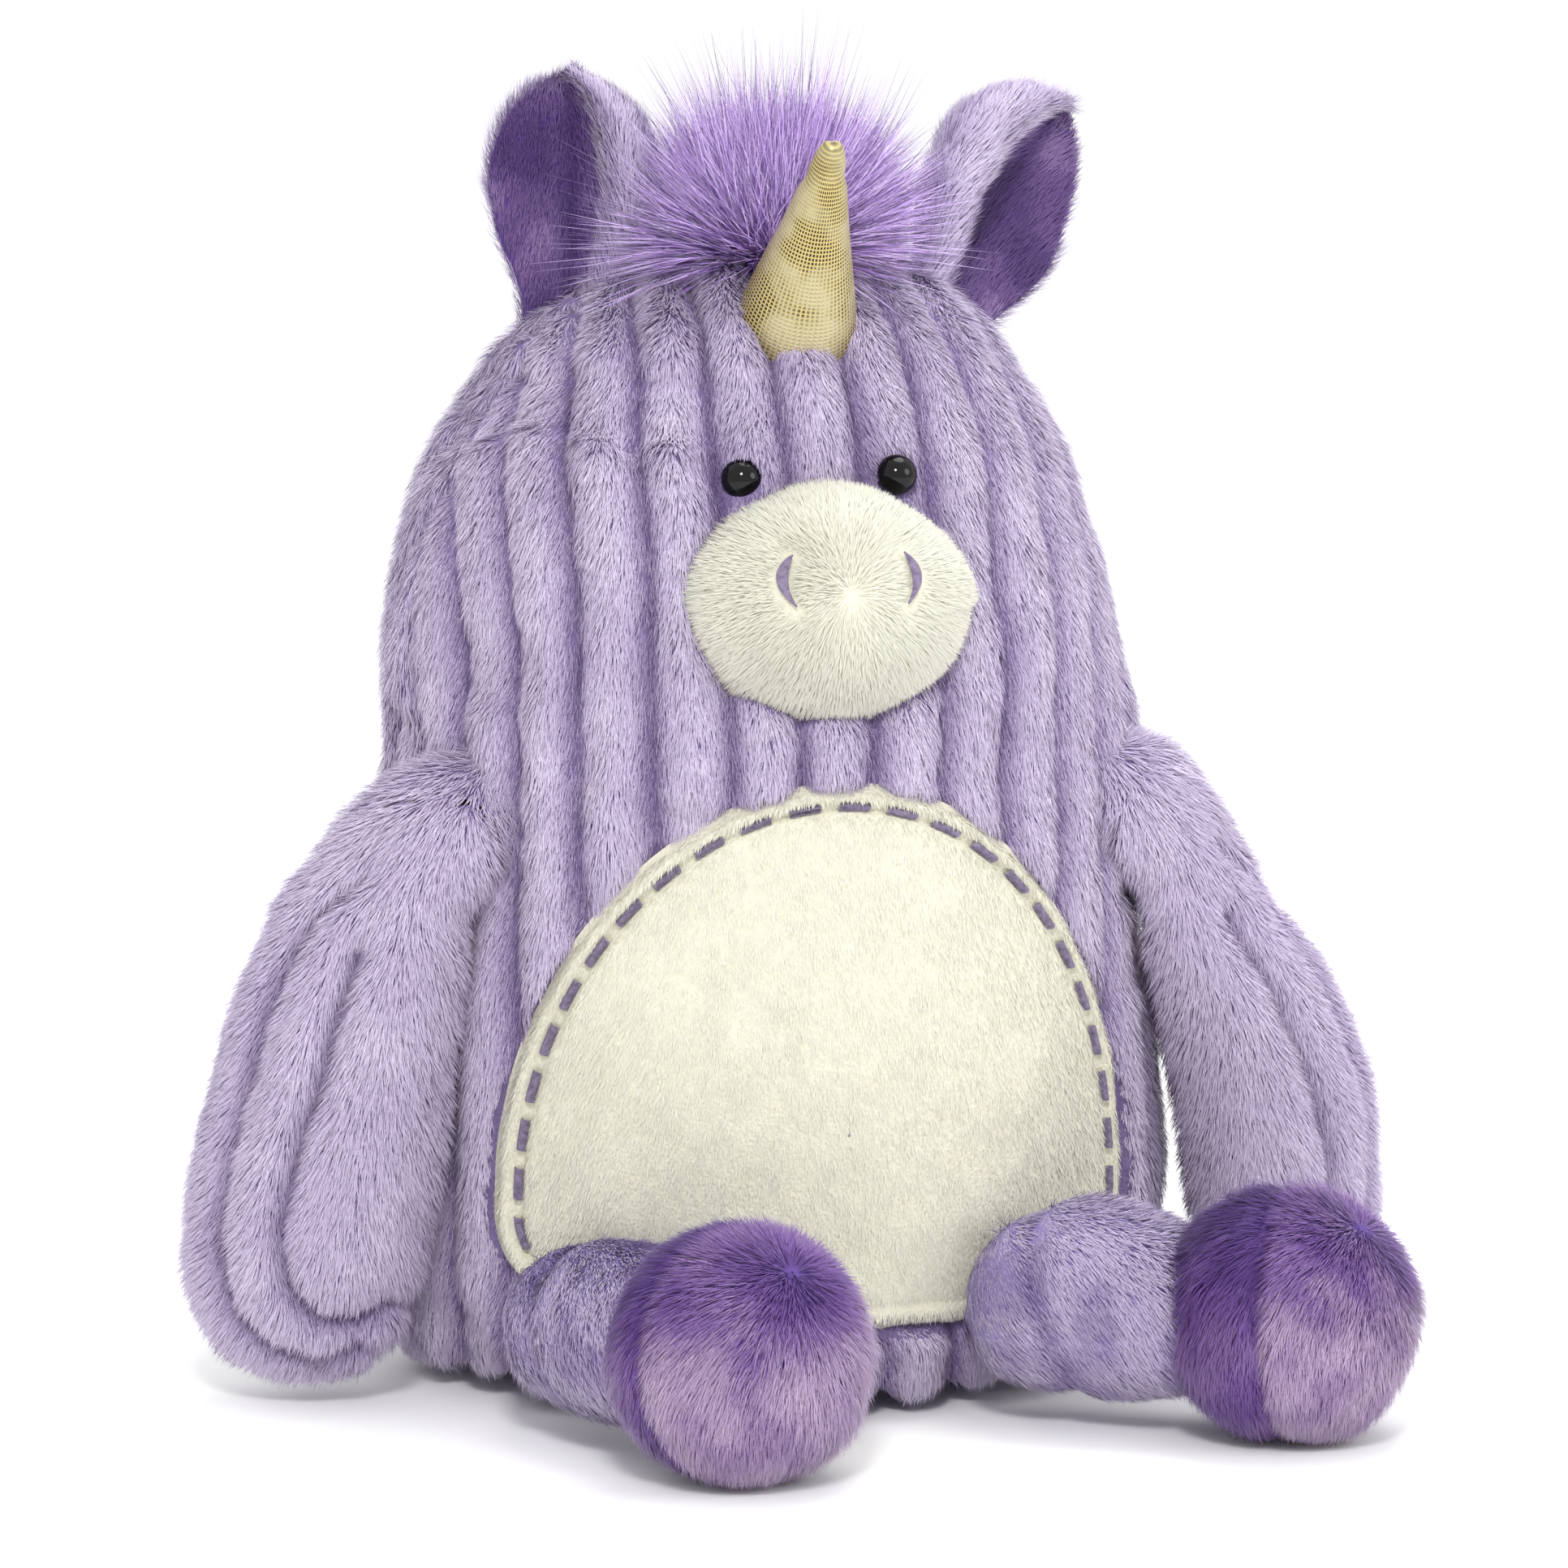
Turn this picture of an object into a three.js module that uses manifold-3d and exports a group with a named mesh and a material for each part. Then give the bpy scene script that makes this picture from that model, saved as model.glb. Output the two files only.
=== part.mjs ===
// Seated plush unicorn: a pear-shaped ribbed body that is head and trunk in one, with a cream
// muzzle and belly patch, stuffed arms, legs with ball hooves, ears, horn, mane tuft and tail.
// Millimetres, +Z up. The face looks towards -Y and the seat rests on z = 0.
import * as THREE from "three";
import { mergeVertices } from "three/addons/utils/BufferGeometryUtils.js";
import Module from "manifold-3d";

const wasm = await Module();
wasm.setup();

// ---------------------------------------------------------------- driving dimensions
const CLOTH = 2.4; // thickness of a plush cover with its pile pressed down
const GAP = 0.4; // clearance between pieces that lie against each other
const ROUND = 24; // facets around the body; smaller pieces have fewer
const ROUND_LIMB = 16; // facets around a limb, an ear or the tail
const ROUND_HORN = 18;
const ROUND_SMALL = 12; // facets around an eye or a washer
const ROUND_HOLE = 8;
const ROUND_THREAD = 5;
const BALL_ROWS = 10; // facets from pole to pole of the muzzle or an ear
const FINEST = 0.05; // facets finer than this are merged
const TO_RAD = Math.PI / 180;
const REACH = 400; // longer than any piece, for the blocks that cut

// The middle of the footprint lies on the origin, so the body stands a little behind it.
const BODY_X = -4.3;
const BODY_Y = 29.6;

// Body outline from the edge of the flat seat to the crown: half width and height.
const BODY_OUTLINE = [
  [60, 0], [76, 3], [85, 14], [88.5, 34], [89.5, 60], [89, 90], [87.5, 125], [85, 157],
  [81.5, 181], [76, 199], [67, 219], [55, 238], [41, 250], [24, 259], [0, 263],
];
const BODY_STEPS = 14; // facets along the outline
const BODY_FLATNESS = 0.86; // depth of the body over its width
const LEAN = 0.05; // how far the body leans back for each millimetre of height
const LEAN_FROM = 80; // height at which the leaning body crosses its own axis
const SIDE_SEAM = 80; // degrees from the front to each side seam
const BASE_SEAM = 7; // height of the seam around the seat
const CROWN_HOLE = 12; // radius of the opening that the mane is sewn into
const CROWN_BLOCK = 40; // height of the block that cuts it
const POUCH_TOP = 40; // height of the pellet pouch in the seat

const BELLY_HALF_WIDTH = 77;
const BELLY_BOTTOM = 22;
const BELLY_WAIST = 53; // height where the patch is widest and its arch begins
const BELLY_TOP = 145;
const PATCH_THICK = 1.8;
const STITCH_INSET = 6.5; // from the patch's edge to its running stitch
const THREAD = 0.9; // radius of the decorative thread
const ARCH_STEPS = 16; // facets around the patch's arch
const STITCH_STEPS = { belly: 30, nostril: 6 };

const MUZZLE = { width: 66, depth: 50, height: 53, z: 189, sink: 7 };
const NOSTRIL = { x: 14, z: 195, height: 12, bow: 3 };
const EYE = { x: 18, z: 216.5, radius: 4.7, shank: 1.5, length: 9 };
// Dome of an eye: share of its radius, and height over the cloth.
const EYE_DOME = [[1, 0.8], [0.96, 1.9], [0.76, 3.3], [0.42, 4.1], [0, 4.4]];
const WASHER = { radius: 5.5, thick: 1.6 };

const HORN = { z: 246, tilt: 38, length: 54, radius: 13.5, cloth: 1.2, lift: 2.6, root: 8 };
// Horn outline: shares of its radius and of its length.
const HORN_OUTLINE = [[1, 0], [0.8, 0.3], [0.5, 0.65], [0.2, 0.95], [0, 1]];
const EAR = { x: 43, z: 247, height: 55, halfWidth: 20, thick: 4.2, turn: 32, lift: 3.2, root: 8 };
const EAR_CUP = 0.022; // how fast an ear curls forward towards its edges
const EAR_TAPER = 0.22; // how much narrower its tip is than its middle
const EAR_LINING = { width: 0.86, thick: 0.8, apart: 0.9 }; // as shares of the ear's back
const EAR_LEAN = { left: 6, right: 33 }; // degrees each ear leans outwards
const MANE = { y: -8, radius: 26, height: 40, bottom: 4, flare: 4 };
// Tuft outline: shares of its radius and of its height, above its narrow root.
const MANE_OUTLINE = [[0.7, 0.45], [1, 0.75], [0.75, 0.94], [0, 1]];
const MANE_ROOT = [0.5, 0.8]; // half widths of that root, as shares of the crown's plug
const SMALL_STEPS = 9; // facets along the horn, the mane or the tail

const ARM_ROOT = { x: 91, y: -36, z: 125 };
// Arm outline below the middle of its root: half width and height.
const ARM_OUTLINE = [
  [0, 12], [8.5, 8.5], [12, 0], [16, -14], [20, -30], [22.3, -55], [23.5, -80],
  [22.5, -101], [17, -115], [8.5, -122], [0, -124],
];
const ARM_OUTWARD = 24; // how far the hand hangs outside the root
const ARM_LENGTH = 124;
const ARM_STEPS = 12; // facets along the outline
const ARM_FLAT_FROM = 0.4; // share of the length below which the arm has its full flatness
const ARM_FLATNESS = 0.62; // thickness of the hand over its width
const ARM_TURN = 22; // degrees the flat of the arm turns outwards
const ARM_SPREAD = { left: 0, right: 4 };

const HIP = { left: { x: -62, y: -76 }, right: { x: 43, y: -88 }, z: 24 };
const LEG = { reach: 58, root: 14.5, radius: 17, ankle: 13 };
// Leg outline from the ankle to the round end at the hip: half width and distance along it.
const LEG_OUTLINE = [
  [LEG.ankle, -LEG.reach], [LEG.radius, -LEG.reach * 0.5], [LEG.radius, -LEG.reach * 0.2],
  [LEG.root * 0.95, LEG.root * 0.25], [LEG.root * 0.6, LEG.root * 0.8], [0, LEG.root],
];
const LEG_STEPS = 8; // facets along the outline
const ANKLE_HOLE = 0.3; // how far the opening for the ankle is drawn in, over the ankle's radius
const LEG_YAW = { left: -25, right: 57 }; // degrees each leg points outwards
const HOOF_RADIUS = 28;
const HOOF_ROWS = 12;

const TAIL = { y: 83.6, z: 62 };
const TAIL_FLATNESS = 0.7; // thickness of the tail over its width
const TAIL_SLOPE = 0.16; // how far the tail hangs away from the body for each millimetre down
// Tail outline about its root: half width and height.
const TAIL_OUTLINE = [[0, 6.2], [5, 4.6], [8, 0], [12, -12], [16, -32], [11.5, -48], [0, -56]];

// ---------------------------------------------------------------- materials
const finish = (color, roughness, metalness = 0) => ({ color, roughness, metalness });
const FINISH = {
  ribbedPlush: finish("#c3b6dc", 0.95),
  earPlush: finish("#7a56a8", 0.95),
  creamPlush: finish("#f2f0e2", 0.95),
  legPlush: finish("#b0a2cf", 0.95),
  hoofFur: finish("#9c7fc0", 0.9),
  maneFur: finish("#a883d6", 0.8),
  hornMesh: finish("#cdb66c", 0.35, 0.6),
  thread: finish("#8d7f9c", 0.6),
  eyePlastic: finish("#050506", 0.08),
  washerPlastic: finish("#e8e8e4", 0.5),
  fibreFill: finish("#f7f7f5", 1),
  pelletPouch: finish("#ddd9cf", 0.9),
};

// ---------------------------------------------------------------- solids
const vec2 = ([x, y]) => new THREE.Vector2(x, y);
const smooth = (points, steps) => new THREE.SplineCurve(points.map(vec2)).getPoints(steps);

// A closed geometry as a manifold-3d solid.
function solid(geometry) {
  const bare = geometry.clone();
  bare.deleteAttribute("normal");
  bare.deleteAttribute("uv");
  const merged = mergeVertices(bare, 1e-4);
  return new wasm.Manifold(
    new wasm.Mesh({
      numProp: 3,
      vertProperties: merged.getAttribute("position").array,
      triVerts: new Uint32Array(merged.index.array),
    }),
  );
}

// A manifold-3d solid as a geometry that three.js can show.
function geometryOf(made) {
  const { numProp, numVert, vertProperties, triVerts } = made.getMesh();
  const positions = new Float32Array(numVert * 3);
  for (let i = 0; i < numVert; i += 1) {
    positions.set(vertProperties.subarray(i * numProp, i * numProp + 3), i * 3);
  }
  const geometry = new THREE.BufferGeometry();
  geometry.setAttribute("position", new THREE.BufferAttribute(positions, 3));
  geometry.setIndex(new THREE.BufferAttribute(new Uint32Array(triVerts), 1));
  geometry.computeVertexNormals();
  return geometry;
}

// The largest of a solid's separate bodies, without the slivers and the needle-thin facets
// that a cut can leave.
function mainBody(made) {
  const largest = made.decompose().sort((a, b) => b.volume() - a.volume())[0];
  return largest.simplify(FINEST);
}

// A named mesh from a geometry or a solid.
function piece(name, shape, look) {
  const geometry = shape.isBufferGeometry ? shape : geometryOf(mainBody(shape));
  const mesh = new THREE.Mesh(geometry, new THREE.MeshStandardMaterial(look));
  mesh.name = name;
  return mesh;
}

// A profile of [radius, height] vectors turned about the Z axis.
function turned(profile, facets = ROUND) {
  return new THREE.LatheGeometry(profile, facets).rotateX(Math.PI / 2);
}

// A geometry with every vertex moved by a function that edits the point it is given.
function reshaped(geometry, edit) {
  const position = geometry.getAttribute("position");
  const point = new THREE.Vector3();
  for (let i = 0; i < position.count; i += 1) {
    point.fromBufferAttribute(position, i);
    edit(point);
    position.setXYZ(i, point.x, point.y, point.z);
  }
  return geometry;
}

// An outline moved inwards along its own normals, with its ends kept on the axis.
function insetOutline(points, inset) {
  return points.map((point, i) => {
    const before = points[Math.max(i - 1, 0)];
    const after = points[Math.min(i + 1, points.length - 1)];
    const along = after.clone().sub(before).normalize();
    const moved = point.clone().add(new THREE.Vector2(-along.y, along.x).multiplyScalar(inset));
    moved.x = point.x === 0 ? 0 : Math.max(moved.x, 0.5);
    return moved;
  });
}

// A flat shape in the XZ plane carried towards -Y.
function towardsFront(shape, depth) {
  const settings = { depth, bevelEnabled: false, curveSegments: ROUND };
  return new THREE.ExtrudeGeometry(shape, settings).rotateX(Math.PI / 2);
}

// Everything above a height.
function above(height) {
  const block = new THREE.BoxGeometry(REACH, REACH, REACH);
  return solid(block.translate(0, 0, height + REACH / 2));
}

// The upright wedge between two directions, in degrees from the front towards +X, drawn in
// by half a gap on each of its faces. The wedge is narrower than half a turn.
function wedge(from, to) {
  const middle = ((from + to) / 2) * TO_RAD;
  const half = ((to - from) / 2) * TO_RAD;
  const apex = GAP / 2 / Math.sin(half);
  const away = (angle) => [Math.sin(angle), -Math.cos(angle)];
  const corners = [vec2(away(middle)).multiplyScalar(apex)];
  [middle - half, middle, middle + half].forEach((angle) => {
    corners.push(vec2(away(angle)).multiplyScalar(REACH).add(corners[0]));
  });
  const block = new THREE.ExtrudeGeometry(new THREE.Shape(corners), { depth: REACH, bevelEnabled: false });
  return solid(block);
}

// ---------------------------------------------------------------- body surface
const leanAt = (z) => LEAN * (z - LEAN_FROM);
const outline = smooth(BODY_OUTLINE, BODY_STEPS);

// The pear of the body, drawn in by a distance, or grown where the distance is negative.
function bodySolid(inset) {
  const side = insetOutline(outline, inset);
  const profile = [new THREE.Vector2(0, side[0].y), ...side];
  return solid(
    reshaped(turned(profile, ROUND), (point) => {
      point.y = point.y * BODY_FLATNESS + leanAt(point.z);
    }),
  );
}

// Half width of the body at a height.
function halfWidthAt(z) {
  const upper = outline.findIndex((point) => point.y >= z);
  const low = outline[upper - 1];
  const high = outline[upper];
  return THREE.MathUtils.mapLinear(z, low.y, high.y, low.x, high.x);
}

// The point of the body's front at a width and height, and the direction it faces.
function frontPoint(x, z) {
  const depth = BODY_FLATNESS * Math.sqrt(halfWidthAt(z) ** 2 - x ** 2);
  return new THREE.Vector3(x, leanAt(z) - depth, z);
}
function frontNormal(x, z) {
  const across = frontPoint(x + 1, z).sub(frontPoint(x - 1, z));
  const upward = frontPoint(x, z + 1).sub(frontPoint(x, z - 1));
  return across.cross(upward).normalize();
}

// A group standing on the body's front, its +Z along the direction that the front faces.
function standOnFront(x, z) {
  const group = new THREE.Group();
  group.position.copy(frontPoint(x, z));
  group.quaternion.setFromUnitVectors(new THREE.Vector3(0, 0, 1), frontNormal(x, z));
  group.updateMatrix();
  return group;
}

const skinOutside = bodySolid(0);
const skinInside = bodySolid(CLOTH);
const overSkin = bodySolid(-GAP);

// ---------------------------------------------------------------- trunk
function eyeHole(x, radius, from, to) {
  const drill = new THREE.CylinderGeometry(radius, radius, to - from, ROUND_HOLE).rotateX(Math.PI / 2);
  drill.translate(0, 0, (from + to) / 2);
  return solid(drill.applyMatrix4(standOnFront(x, EYE.z).matrix));
}

// An upright plug of a radius through the crown, where the mane is sewn in.
function crownPlug(radius) {
  const plug = new THREE.CylinderGeometry(radius, radius, CROWN_BLOCK, ROUND_LIMB);
  return solid(plug.rotateX(Math.PI / 2).translate(0, MANE.y, BODY_OUTLINE.at(-1)[1]));
}

function trunk() {
  const group = new THREE.Group();
  const crownCut = crownPlug(CROWN_HOLE);
  const skin = skinOutside.subtract(skinInside);
  const walls = skin.intersect(above(BASE_SEAM + GAP / 2)).subtract(crownCut);
  let front = walls.intersect(wedge(-SIDE_SEAM, SIDE_SEAM));
  const backLeft = walls.intersect(wedge(-180, -SIDE_SEAM));
  const backRight = walls.intersect(wedge(SIDE_SEAM, 180));
  const base = skin.subtract(above(BASE_SEAM - GAP / 2));

  const fill = bodySolid(CLOTH + GAP);
  const pouch = fill.subtract(above(POUCH_TOP));
  let stuffing = fill.intersect(above(POUCH_TOP + GAP));
  [-EYE.x, EYE.x].forEach((x) => {
    front = front.subtract(eyeHole(x, EYE.shank + GAP, -CLOTH * 2, CLOTH * 2));
    stuffing = stuffing.subtract(eyeHole(x, WASHER.radius + GAP, -EYE.length - GAP, CLOTH));
  });

  group.add(
    piece("body_front_panel", front, FINISH.ribbedPlush),
    piece("body_back_left_panel", backLeft, FINISH.ribbedPlush),
    piece("body_back_right_panel", backRight, FINISH.ribbedPlush),
    piece("base_panel", base, FINISH.ribbedPlush),
    piece("body_stuffing", stuffing, FINISH.fibreFill),
    piece("pellet_pouch", pouch, FINISH.pelletPouch),
  );
  return group;
}

// ---------------------------------------------------------------- belly
// The patch's arch, drawn in by a distance, as points from one foot of it to the other.
function bellyArch(inset) {
  const halfWidth = BELLY_HALF_WIDTH - inset;
  const arch = new THREE.EllipseCurve(
    0, BELLY_WAIST, halfWidth, BELLY_TOP - inset - BELLY_WAIST, 0, Math.PI,
  );
  const foot = BELLY_BOTTOM + inset;
  return [vec2([halfWidth, foot]), ...arch.getPoints(ARCH_STEPS), vec2([-halfWidth, foot])];
}

function belly() {
  const group = new THREE.Group();
  const layer = bodySolid(-GAP - PATCH_THICK).subtract(overSkin);
  const cut = solid(towardsFront(new THREE.Shape(bellyArch(0)), REACH));
  const lift = GAP * 2 + PATCH_THICK + THREAD;
  const route = bellyArch(STITCH_INSET).map(({ x, y: z }) =>
    frontPoint(x, z).addScaledVector(frontNormal(x, z), lift),
  );
  const stitching = new THREE.ExtrudeGeometry(
    new THREE.Shape(new THREE.EllipseCurve(0, 0, THREAD, THREAD).getPoints(ROUND_THREAD)),
    { steps: STITCH_STEPS.belly, extrudePath: new THREE.CatmullRomCurve3(route), bevelEnabled: false },
  );
  group.add(
    piece("belly_patch", layer.intersect(cut), FINISH.creamPlush),
    piece("belly_running_stitch", stitching, FINISH.thread),
  );
  return group;
}

// ---------------------------------------------------------------- face
function muzzleSolid(inset) {
  const ball = new THREE.SphereGeometry(1, ROUND, BALL_ROWS);
  ball.scale(MUZZLE.width / 2 - inset, MUZZLE.depth / 2 - inset, MUZZLE.height / 2 - inset);
  const middle = frontPoint(0, MUZZLE.z);
  return solid(ball.translate(0, middle.y + MUZZLE.sink, MUZZLE.z)).subtract(overSkin);
}

// Distance from the muzzle's own middle plane to its outside at a width and height.
function muzzleFront(x, z) {
  const across = (x / (MUZZLE.width / 2)) ** 2;
  const up = ((z - MUZZLE.z) / (MUZZLE.height / 2)) ** 2;
  const bulge = (MUZZLE.depth / 2) * Math.sqrt(1 - across - up);
  return frontPoint(0, MUZZLE.z).y + MUZZLE.sink - bulge;
}

// A satin-stitched crescent that lies on the muzzle.
function nostril(name, side) {
  const route = [-1, -0.5, 0, 0.5, 1].map((step) => {
    const x = side * (NOSTRIL.x + NOSTRIL.bow * (1 - step ** 2));
    const z = NOSTRIL.z + (step * NOSTRIL.height) / 2;
    return new THREE.Vector3(x, muzzleFront(x, z) - THREAD - GAP * 2, z);
  });
  const section = new THREE.EllipseCurve(0, 0, THREAD, THREAD).getPoints(ROUND_THREAD);
  const path = new THREE.CatmullRomCurve3(route);
  const settings = { steps: STITCH_STEPS.nostril, extrudePath: path, bevelEnabled: false };
  return piece(name, new THREE.ExtrudeGeometry(new THREE.Shape(section), settings), FINISH.thread);
}

// A safety eye: a domed bead on a shank, held by a washer behind the cloth.
function eye(side, name) {
  const group = standOnFront(side * EYE.x, EYE.z);
  const { radius, shank, length } = EYE;
  const bead = [
    [0, -length], [shank, -length], [shank, EYE_DOME[0][1]],
    ...EYE_DOME.map(([share, up]) => [share * radius, up]),
  ];
  const top = -CLOTH - GAP * 2;
  const bottom = top - WASHER.thick;
  const hole = shank + GAP;
  const ring = [[hole, bottom], [WASHER.radius, bottom], [WASHER.radius, top], [hole, top], [hole, bottom]];
  group.add(
    piece(`${name}_eye`, turned(bead.map(vec2), ROUND_SMALL), FINISH.eyePlastic),
    piece(`${name}_eye_washer`, turned(ring.map(vec2), ROUND_SMALL), FINISH.washerPlastic),
  );
  return group;
}

function face() {
  const group = new THREE.Group();
  group.add(
    piece("muzzle_cover", muzzleSolid(0).subtract(muzzleSolid(CLOTH)), FINISH.creamPlush),
    piece("muzzle_stuffing", muzzleSolid(CLOTH + GAP), FINISH.fibreFill),
    nostril("left_nostril", -1),
    nostril("right_nostril", 1),
    eye(-1, "left"),
    eye(1, "right"),
  );
  return group;
}

// ---------------------------------------------------------------- horn, ears and mane
function horn() {
  const { radius, length, tilt, cloth, lift, root } = HORN;
  const corners = HORN_OUTLINE.map(([across, up]) => [across * radius, up * length]);
  const side = smooth([[radius, -root], ...corners], SMALL_STEPS);
  const place = new THREE.Matrix4().makeRotationX(tilt * TO_RAD);
  place.setPosition(frontPoint(0, HORN.z));
  const clear = bodySolid(-lift);
  const cone = (inset) => {
    const profile = insetOutline(side, inset);
    profile.unshift(new THREE.Vector2(0, profile[0].y));
    return solid(turned(profile, ROUND_HORN).applyMatrix4(place)).subtract(clear);
  };
  const group = new THREE.Group();
  group.add(
    piece("horn_cover", cone(0).subtract(cone(cloth)), FINISH.hornMesh),
    piece("horn_stuffing", cone(cloth + GAP), FINISH.fibreFill),
  );
  return group;
}

// One layer of an ear: a leaf that cups towards -Y, standing on the origin.
function earLeaf(halfWidth, thick, forward) {
  const ball = new THREE.SphereGeometry(1, ROUND_LIMB, BALL_ROWS);
  return reshaped(ball.rotateX(Math.PI / 2), (point) => {
    const taper = 1 - EAR_TAPER * point.z;
    point.x *= halfWidth * taper;
    point.y = (point.y * thick) / 2 - forward - EAR_CUP * point.x ** 2;
    point.z = (point.z * (EAR.height + EAR.root)) / 2 + (EAR.height - EAR.root) / 2;
  });
}

function ear(side, name) {
  const clear = bodySolid(-EAR.lift);
  const place = new THREE.Object3D();
  place.position.set(side * EAR.x, leanAt(EAR.z), EAR.z);
  place.rotation.set(0, side * EAR_LEAN[name] * TO_RAD, side * EAR.turn * TO_RAD, "ZYX");
  place.updateMatrix();
  const layer = (...sizes) => solid(earLeaf(...sizes).applyMatrix4(place.matrix)).subtract(clear);
  const { halfWidth, thick } = EAR;
  const lining = layer(
    halfWidth * EAR_LINING.width, thick * EAR_LINING.thick, thick * EAR_LINING.apart + GAP,
  );
  const group = new THREE.Group();
  group.add(
    piece(`${name}_ear_back`, layer(halfWidth, thick, 0), FINISH.ribbedPlush),
    piece(`${name}_ear_lining`, lining, FINISH.earPlush),
  );
  return group;
}

function mane() {
  const { y, radius, height, bottom, flare } = MANE;
  const root = CROWN_HOLE - GAP;
  const backing = crownPlug(root).intersect(skinOutside.subtract(skinInside));
  const foot = MANE_ROOT.map((share, row) => [share * root, bottom + row * flare]);
  const spray = MANE_OUTLINE.map(([across, up]) => [across * radius, up * height]);
  const brush = smooth([...foot, ...spray], SMALL_STEPS);
  brush.unshift(new THREE.Vector2(0, bottom));
  const tuft = turned(brush, ROUND_LIMB).translate(0, y, BODY_OUTLINE.at(-1)[1]);
  const group = new THREE.Group();
  group.add(
    piece("mane_backing", backing, FINISH.earPlush),
    piece("mane_tuft", tuft, FINISH.maneFur),
  );
  return group;
}

// ---------------------------------------------------------------- arms
function armSolid(side, inset) {
  const profile = insetOutline(smooth(ARM_OUTLINE, ARM_STEPS).reverse(), inset);
  profile[0].y += inset;
  profile.at(-1).y -= inset;
  const turn = side * ARM_TURN * TO_RAD;
  return solid(
    reshaped(turned(profile, ROUND_LIMB), (point) => {
      const down = THREE.MathUtils.clamp(-point.z / ARM_LENGTH, 0, 1);
      const share = THREE.MathUtils.smoothstep(down, 0, ARM_FLAT_FROM);
      const flat = THREE.MathUtils.lerp(1, ARM_FLATNESS, share);
      const outward = side * ARM_OUTWARD * (1 - (1 - down) ** 2);
      const across = point.x + outward;
      const through = point.y * flat;
      point.x = across * Math.cos(turn) - through * Math.sin(turn);
      point.y = across * Math.sin(turn) + through * Math.cos(turn);
    }),
  );
}

// The half space on the front or back of the arm's seam, half a gap clear of it.
function armHalf(side, towards) {
  const block = new THREE.BoxGeometry(REACH, REACH, REACH);
  block.translate(0, towards * (REACH / 2 + GAP / 2), 0);
  return solid(block.rotateZ(side * ARM_TURN * TO_RAD));
}

function arm(side, name) {
  const group = new THREE.Group();
  group.position.set(side * ARM_ROOT.x, ARM_ROOT.y, ARM_ROOT.z);
  group.rotation.y = -side * ARM_SPREAD[name] * TO_RAD;
  const cover = armSolid(side, 0).subtract(armSolid(side, CLOTH));
  group.add(
    piece(`${name}_arm_front_panel`, cover.intersect(armHalf(side, -1)), FINISH.ribbedPlush),
    piece(`${name}_arm_back_panel`, cover.intersect(armHalf(side, 1)), FINISH.ribbedPlush),
    piece(`${name}_arm_stuffing`, armSolid(side, CLOTH + GAP), FINISH.fibreFill),
  );
  return group;
}

// ---------------------------------------------------------------- legs
function ballSolid(radius) {
  return solid(new THREE.SphereGeometry(radius, ROUND_LIMB, HOOF_ROWS).rotateX(Math.PI / 2));
}

// A leg and its hoof, built along -Y from the middle of the hip at the origin.
function leg(side, name) {
  const hoofRise = HOOF_RADIUS - HIP.z; // the hoof rests on the floor, the hip is lower than its middle
  const rod = (inset) => {
    const profile = insetOutline(smooth(LEG_OUTLINE, LEG_STEPS), inset);
    profile.at(-1).y -= inset;
    profile.unshift(new THREE.Vector2(0, profile[0].y));
    const upright = turned(profile, ROUND_LIMB);
    return solid(upright.rotateX(-Math.PI / 2).rotateX(Math.atan2(-hoofRise, LEG.reach)));
  };
  const hoofPlace = [0, -LEG.reach, hoofRise];
  const hoof = (inset) => ballSolid(HOOF_RADIUS - inset).translate(hoofPlace);
  const around = hoof(-GAP);
  const ankleHole = rod(LEG.ankle * ANKLE_HOLE);
  const shell = hoof(0).subtract(hoof(CLOTH));
  const split = new THREE.BoxGeometry(REACH, REACH, REACH);
  const frontHalf = solid(split.clone().translate(0, -LEG.reach - REACH / 2 - GAP / 2, 0));
  const backHalf = solid(split.translate(0, -LEG.reach + REACH / 2 + GAP / 2, 0));

  const group = new THREE.Group();
  group.position.set(HIP[name].x, HIP[name].y, HIP.z);
  group.rotation.z = side * LEG_YAW[name] * TO_RAD;
  group.add(
    piece(`${name}_leg_cover`, rod(0).subtract(rod(CLOTH)).subtract(around), FINISH.legPlush),
    piece(`${name}_leg_stuffing`, rod(CLOTH + GAP).subtract(around), FINISH.fibreFill),
    piece(`${name}_hoof_front`, shell.intersect(frontHalf), FINISH.hoofFur),
    piece(`${name}_hoof_back`, shell.intersect(backHalf).subtract(ankleHole), FINISH.hoofFur),
    piece(`${name}_hoof_stuffing`, hoof(CLOTH + GAP), FINISH.fibreFill),
  );
  return group;
}

// ---------------------------------------------------------------- tail
function tail() {
  const drop = reshaped(turned(smooth(TAIL_OUTLINE, SMALL_STEPS).reverse(), ROUND_LIMB), (point) => {
    point.y = point.y * TAIL_FLATNESS + Math.max(-point.z, 0) * TAIL_SLOPE;
  });
  return piece("tail", drop.translate(0, TAIL.y, TAIL.z), FINISH.maneFur);
}

// ---------------------------------------------------------------- the whole toy
const unicorn = new THREE.Group();
unicorn.position.set(BODY_X, BODY_Y, 0);
unicorn.add(trunk(), belly(), face(), horn(), mane(), tail());
[[-1, "left"], [1, "right"]].forEach(([side, name]) => {
  unicorn.add(ear(side, name), arm(side, name), leg(side, name));
});

export default unicorn;
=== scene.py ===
"""Looks of the sitting plush unicorn: ribbed long-pile body, cream belly and muzzle, net horn, fur tuft.

Lengths are in millimetres in the toy's own frame: x = 0 and y = 0 on its upright axis at the floor, +Z up,
and the face looks along -Y. to_row() turns them into the row frame's metres. "left" is the viewer's left.
Every fabric is a skin mesh with a woven backing, and its pile is a second mesh of combed, tapered fibres.
"""

import math

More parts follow.
